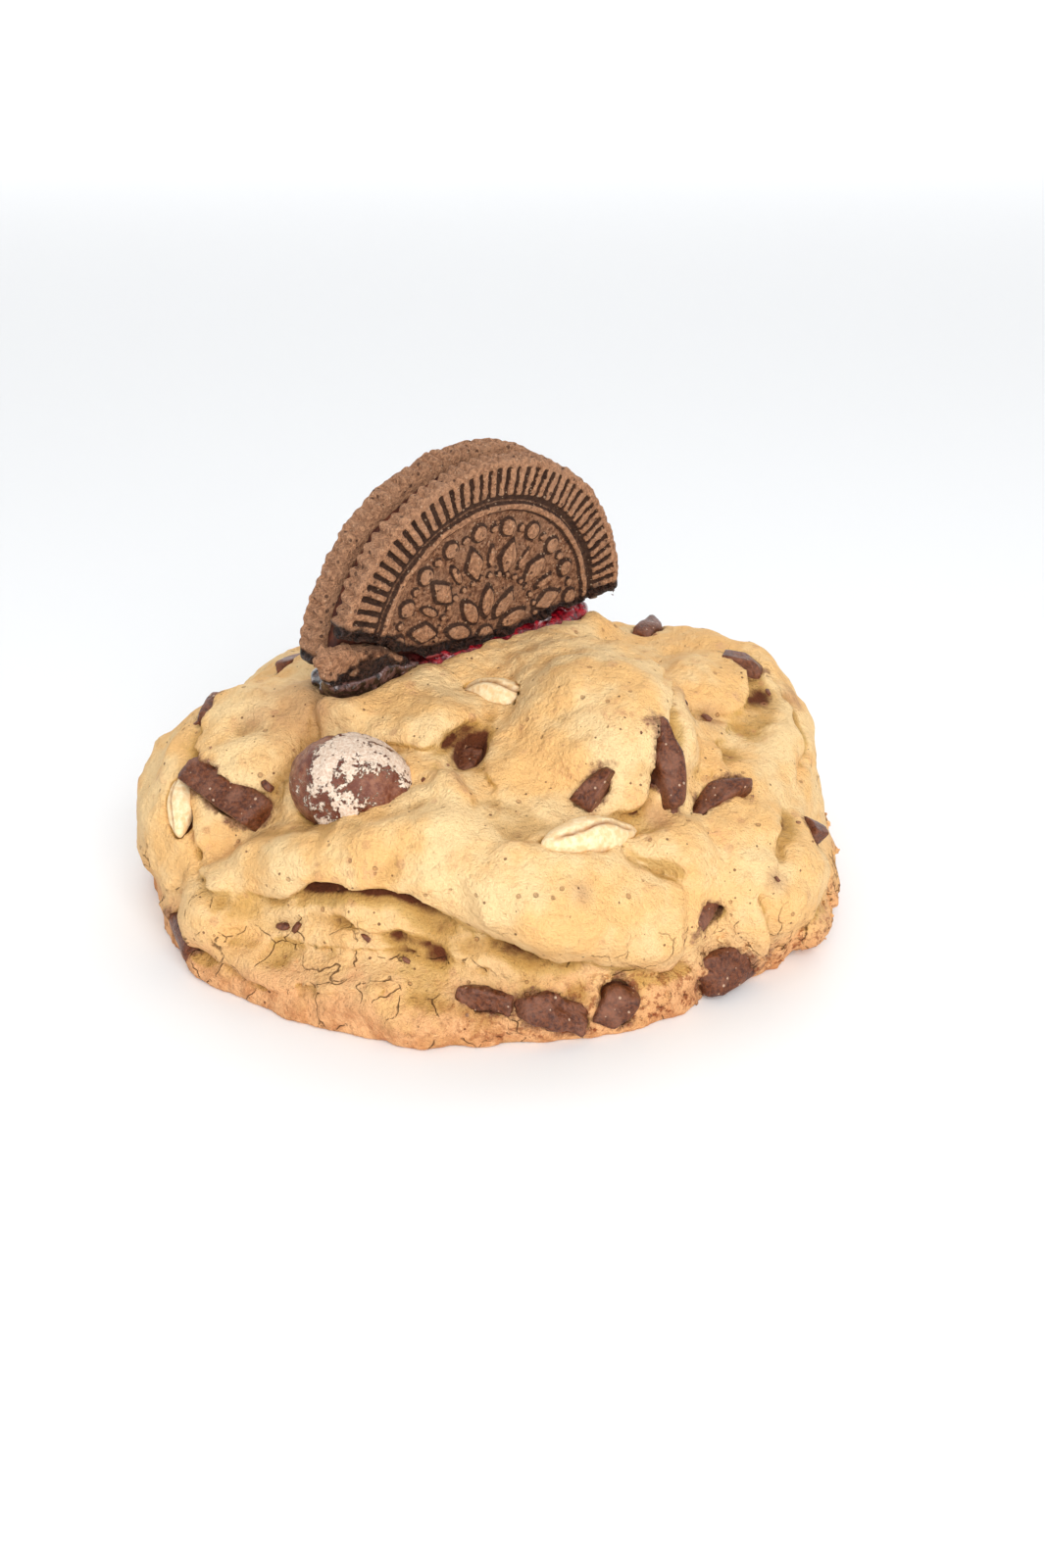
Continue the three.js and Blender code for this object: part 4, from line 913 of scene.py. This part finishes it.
def pocket_depth(points, distance):
    """Cuts out of the dough what is pushed into it, with a torn edge."""
    for name, (middle, axes, half, _) in sunk.items():
        near = np.flatnonzero(np.linalg.norm(points - middle, axis=1) < half.max() + 4)
        ragged = 1.8 if "smear" in name else 1
        torn = 0.5 * grain(points[near], 1.9, 95) + 0.3 * grain(points[near], 0.9, 96)
        pocket = lump_distance(points[near], middle, half * 0.94, axes) + ragged * torn
        distance[near] = smooth_max(distance[near], -pocket, 0.4)
    near = np.flatnonzero(np.linalg.norm(points - BISCUIT_FOOT, axis=1) < 32)
    local = lay(points[near])
    bed = bead_distance(local, 0.1) - 0.3 * grain(points[near], 1.4, 97)
    distance[near] = smooth_max(distance[near], -bed, 0.4)
    return distance


def smeared(points):
    """How close a place is to chocolate, in millimetres."""
    nearest = np.full(len(points), 9.0)
    for name in CHUNKS:
        middle, axes, half, _ = sunk[name]
        nearest = np.minimum(nearest, lump_distance(points, middle, half, axes))
    return nearest


def baked_distance(points):
    distance = smooth_dough(points)
    near = np.flatnonzero(np.abs(distance) < 7)
    here = points[near]
    strayed = here + 0.5 * np.column_stack([rough(here, 3.2, 2, 101 + 7 * i) for i in range(3)])
    distance[near] = dough_distance(strayed)
    low = np.clip(1 - here[:, 2] / 9, 0, 1)
    crumbly = low * (0.35 + 0.9 * np.clip(here[:, 0] / 26, 0, 1)) * (1 + grain(here, 7, 88))
    relief = 0.26 * rough(here, 6, 2, 81) + (0.24 + 0.5 * crumbly) * rough(here, 2.4, 3, 84)
    relief += (0.5 + 3 * crumbly) * np.clip(0.34 - pits(here, 2.3, 90), 0, 1)
    distance[near] += relief
    distance = pocket_depth(points, distance)
    return np.maximum(distance, FLOOR - points[:, 2])


vertices, faces = skin(baked_distance, (-48, -49, -1.2), (48, 49, 37), DOUGH_CELL)
normals = np.zeros((len(vertices), 3))
corners = vertices[faces]
facing = np.cross(corners[:, 2] - corners[:, 0], corners[:, 3] - corners[:, 1])
for i in range(4):
    np.add.at(normals, faces[:, i], facing)
normals /= np.linalg.norm(normals, axis=1)[:, None] + 1e-9
# How deep in a fold or crease each vertex lies, measured two ways; the dough's finish paints shade from
# these.
fold_shade = np.clip(1 - dough_distance(vertices + 2.6 * normals) / 2.6, 0, 1)
crease_depth_for_shade = np.clip(-smooth_dough(vertices) / 3, 0, 1)
smears = np.clip(1 - smeared(vertices) / 2.6, 0, 1)
# Painted shade on the large upper left patch, and grey tints at the small ones, as a mark for the finish.
stained = np.zeros(len(vertices))
for azimuth, elevation, reach in TINTS_AND_SHADE:
    apart = np.linalg.norm(vertices - seat((azimuth, elevation))[0], axis=1)
    stained = np.maximum(stained, 1 - apart / reach)
dough = Finish("baked dough", {"Roughness": 0.84, "Specular IOR Level": 0.28})
# The next two marks carry painted shade in the folds and creases.
fold = dough.mark("fold")
sunken = dough.mark("sunken")
smear = dough.mark("smear")
grit = dough.noise(0.45, 3, 0.7)
clouds = dough.noise(8, 3, 0.6)
mottle = dough.noise(2.2, 4, 0.65)
stains = dough.noise(4, 4, 0.7)
grains = dough.noise(1.0, 4, 0.75)
freckles = dough.spots(0.9, 0.09)
gold = dough.coats(
    dough.mix(dough.fade(clouds, 0.38, 0.64), paint(252, 215, 158), paint(248, 196, 128)),
    (dough.fade(mottle, 0.54, 0.76) * 0.35, paint(226, 168, 118)),
    (dough.fade(stains, 0.6, 0.76) * 0.45, paint(216, 158, 126)),
    (dough.fade(grains, 0.56, 0.74) * 0.4, paint(214, 158, 102)),
)
warm = dough.fade(dough.high + (clouds - 0.5) * 0.012, 0.016, 0.003)
gold = dough.mix(warm * 0.45, gold, paint(238, 184, 122))
toast = dough.fade(dough.high + (clouds - 0.5) * 0.012 + (mottle - 0.5) * 0.012, 0.0075, 0.001)
peach = dough.mix(dough.fade(mottle, 0.42, 0.62), paint(240, 176, 122), paint(200, 122, 72))
gold = dough.coats(
    gold,
    (toast * 0.8, peach),
    # painted shade: olive in the folds and creases, dark red-brown deep in the creases
    (dough.fade(fold + (mottle - 0.5) * 0.4, 0.36, 0.72) * 0.6, paint(196, 152, 66)),
    (dough.fade(sunken + (mottle - 0.5) * 0.2, 0.24, 0.44) * 0.55, paint(182, 132, 62)),
    (dough.fade(sunken + (mottle - 0.5) * 0.3, 0.44, 0.62) * 0.95, paint(92, 36, 14)),
)
dirty = dough.mix(dough.fade(grit, 0.4, 0.6), paint(96, 50, 38), paint(160, 112, 88))
gold = dough.mix(dough.fade(smear + (mottle - 0.5) * 1.6 + (stains - 0.5), 0.66, 1.05) * 0.75, gold, dirty)
burnt = dough.mark("crumbly") * dough.fade(grains, 0.5, 0.62)
gold = dough.mix(burnt * 1.2, gold, paint(146, 74, 36))
low = dough.fade(dough.high + (clouds - 0.5) * 0.012, 0.015, 0.007)
# Thin cracks low on the dough: sunk by the bump and painted darker as the shade in them.
split = dough.cracks(4.5, 0.022) * dough.fade(stains, 0.48, 0.58) * low
gold = dough.mix(split * 0.75, gold, paint(138, 82, 36))
# painted shade on the large upper left patch, grey tints at the small patches
stain = dough.fade(dough.mark("stained") + (stains - 0.5) * 0.8, 0.2, 0.9)
gold = dough.coats(
    gold,
    (stain * 0.55, paint(178, 132, 98)),
    (dough.spots(1.8, 0.2) * 0.3, paint(194, 128, 94)),
    (freckles * 0.5, paint(156, 98, 58)),
    (dough.spots(0.55, 0.035) * 0.8, paint(96, 50, 28)),
)
bumps = grit * 0.7 + grains * 1.8 + mottle * 1.2 - freckles * 0.5 - split * 1.5
dough.surface(gold, bumps, 0.45)
x, y, z = vertices.T
crumbled = np.clip(1 - z / 9, 0, 1) * np.clip(0.6 + x / 30, 0.2, 1) * (z > 0.8)
dough_body = new_piece("dough_body", vertices, faces, dough.material, "dough", ["dough"], fold=fold_shade,
                       sunken=crease_depth_for_shade, smear=smears, stained=np.clip(stained, 0, 1), crumbly=crumbled)

# ---- Bits and crumbs ----
# Splinters of chocolate too small to be chunks, each at its own bearing, and crumbs of cocoa and of dough
# that stuck to the skin in the oven, thickest round the chocolate and along the rim.
SPLINTERS = [
    (-72.6, 30.1, 0.8), (-69.9, 23.7, 0.6), (-70.5, 10.7, 0.7), (-47.4, 20.5, 1.2), (-14.4, 28.9, 1.1),
    (37.1, 18.7, 1.4), (69.9, 29.3, 0.9), (-18.6, 2.8, 0.8), (-33, 1.4, 1.2), (-30.5, 1.9, 0.9),
    (48.2, -7.5, 1.3), (-12, 0.2, 0.7), (59.3, 35.5, 0.7), (81.9, 26.2, 0.7), (45, 7.1, 0.5), (150, 30, 1.1),
    (200, 8, 1.4), (-160, 20, 1.0), (110, 20, 0.9), (165, 50, 1.1), (-100, 35, 0.9),
]
splinter_shape, splinter_faces = round_mesh(2)
points, faces = [], []
for number, (azimuth, elevation, size) in enumerate(SPLINTERS):
    middle, axes = placement((azimuth, elevation), 47 * number, -0.1)
    half = np.array([0.8, 0.4, 0.36]) * size
    shape = splinter_shape * facets(splinter_shape, number + 90)[:, None] * half
    faces += [[corner + len(points) for corner in face] for face in splinter_faces]
    points += (middle + shape @ axes).tolist()
new_piece("chocolate_splinters", points, faces, chocolate.material, "chocolate")


def scatter(name, density, size, seed, finish, mark):
    """Crumbs on the dough, as many to a square metre as density times its mark, made one plain mesh."""
    plan = Plan(bpy.data.node_groups.new(name, "GeometryNodeTree"))
    sockets = [("Ground", "INPUT", "NodeSocketGeometry"), ("Density", "INPUT", "NodeSocketFloat"),
               ("Size", "INPUT", "NodeSocketFloat"), ("Seed", "INPUT", "NodeSocketInt"),
               ("Crumbs", "OUTPUT", "NodeSocketGeometry")]
    for label, side, kind in sockets:
        plan.tree.interface.new_socket(label, in_out=side, socket_type=kind)
    given = plan.node("NodeGroupInput").socket.node
    asked = {label: Signal(plan, given.outputs[label]) for label in ("Ground", "Density", "Size", "Seed")}
    share = plan.node("GeometryNodeInputNamedAttribute", {"data_type": "FLOAT"}, {"Name": mark})
    spread = {"Mesh": asked["Ground"], "Density": share * asked["Density"], "Seed": asked["Seed"]}
    places = plan.node("GeometryNodeDistributePointsOnFaces", None, spread)
    turn = plan.node("FunctionNodeRandomValue", {"data_type": "FLOAT_VECTOR"}, {1: (6.28, 6.28, 6.28)})
    grown = plan.node("FunctionNodeRandomValue", {"data_type": "FLOAT"}, {2: 0.35, 3: 1.0}, 1)
    crumb_shape = plan.node("GeometryNodeMeshIcoSphere", None, {"Radius": asked["Size"], "Subdivisions": 2})
    stuck = plan.node("GeometryNodeInstanceOnPoints", None,
                      {"Points": places, "Instance": crumb_shape, "Rotation": turn, "Scale": grown})
    loose = plan.node("GeometryNodeRealizeInstances", None, {0: stuck})
    wobble = plan.node("ShaderNodeTexNoise", None, {"Scale": 1.6 / (size * MM), "Detail": 1.0}, "Color")
    shift = plan.node("ShaderNodeVectorMath", {"operation": "SUBTRACT"}, {0: wobble, 1: (0.5, 0.5, 0.5)})
    shift = plan.node("ShaderNodeVectorMath", {"operation": "SCALE"}, {0: shift, "Scale": 2.2 * size * MM})
    uneven = plan.node("GeometryNodeSetPosition", None, {"Geometry": loose, "Offset": shift})
    made = plan.node("GeometryNodeSetMaterial", None, {"Geometry": uneven, "Material": finish})
    plan.node("NodeGroupOutput", None, {"Crumbs": made})
    ground = bpy.data.objects.new(name, dough_body.data)
    bpy.context.scene.collection.objects.link(ground)
    modifier = ground.modifiers.new("crumbs", "NODES")
    modifier.node_group = plan.tree
    for label, value in (("Density", density), ("Size", size * MM), ("Seed", seed)):
        modifier[plan.tree.interface.items_tree[label].identifier] = value
    seen = ground.evaluated_get(bpy.context.evaluated_depsgraph_get())
    crumbs = bpy.data.meshes.new_from_object(seen)
    ground.modifiers.clear()
    ground.data = crumbs
    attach(ground, "root")


scatter("cocoa_crumbs", 60000, 0.24, 3, cocoa.material, "smear")
scatter("dough_crumbs", 90000, 0.5, 8, dough.material, "crumbly")

# ---- The studio ----
# A white table with a bright white sheet hung far behind it, soft light from all round, and one large soft
# lamp in front, a little to the right and above the camera.
WHITE = (0.93, 0.935, 0.94, 1)
SHEET_GLOW = 1.04
WORLD_GLOW = 0.52
LAMP_WATTS = 3.0
LAMP_SIZE = 0.4
LAMP_PLACE = (0.1, -0.48, 0.3)
table = bpy.data.meshes.new("white_table")
table.from_pydata([(-3, -2, 0), (3, -2, 0), (3, 2.5, 0), (-3, 2.5, 0)], [], [(0, 1, 2, 3)])
sheet = bpy.data.meshes.new("white_sheet")
sheet.from_pydata([(-3, 1.6, -1), (3, 1.6, -1), (3, 1.6, 3), (-3, 1.6, 3)], [], [(0, 1, 2, 3)])
card = Finish("white card", {"Base Color": WHITE, "Roughness": 0.6})
glow = {"Base Color": WHITE, "Roughness": 0.9, "Emission Color": WHITE, "Emission Strength": SHEET_GLOW}
glowing = Finish("bright sheet", glow)
for mesh, finish in ((table, card), (sheet, glowing)):
    mesh.materials.append(finish.material)
    piece = bpy.data.objects.new(mesh.name, mesh)
    bpy.context.scene.collection.objects.link(piece)
world = bpy.data.worlds.new("studio")
bpy.context.scene.world = world
world.use_nodes = True
world.node_tree.nodes["Background"].inputs["Color"].default_value = (0.97, 0.985, 1, 1)
world.node_tree.nodes["Background"].inputs["Strength"].default_value = WORLD_GLOW
key = bpy.data.objects.new("key", bpy.data.lights.new("key", "AREA"))
key.data.size = LAMP_SIZE
key.data.energy = LAMP_WATTS
key.location = LAMP_PLACE
key.rotation_euler = (-key.location).to_track_quat("-Z", "Y").to_euler()
bpy.context.scene.collection.objects.link(key)
bpy.context.scene.view_settings.view_transform = "Standard"
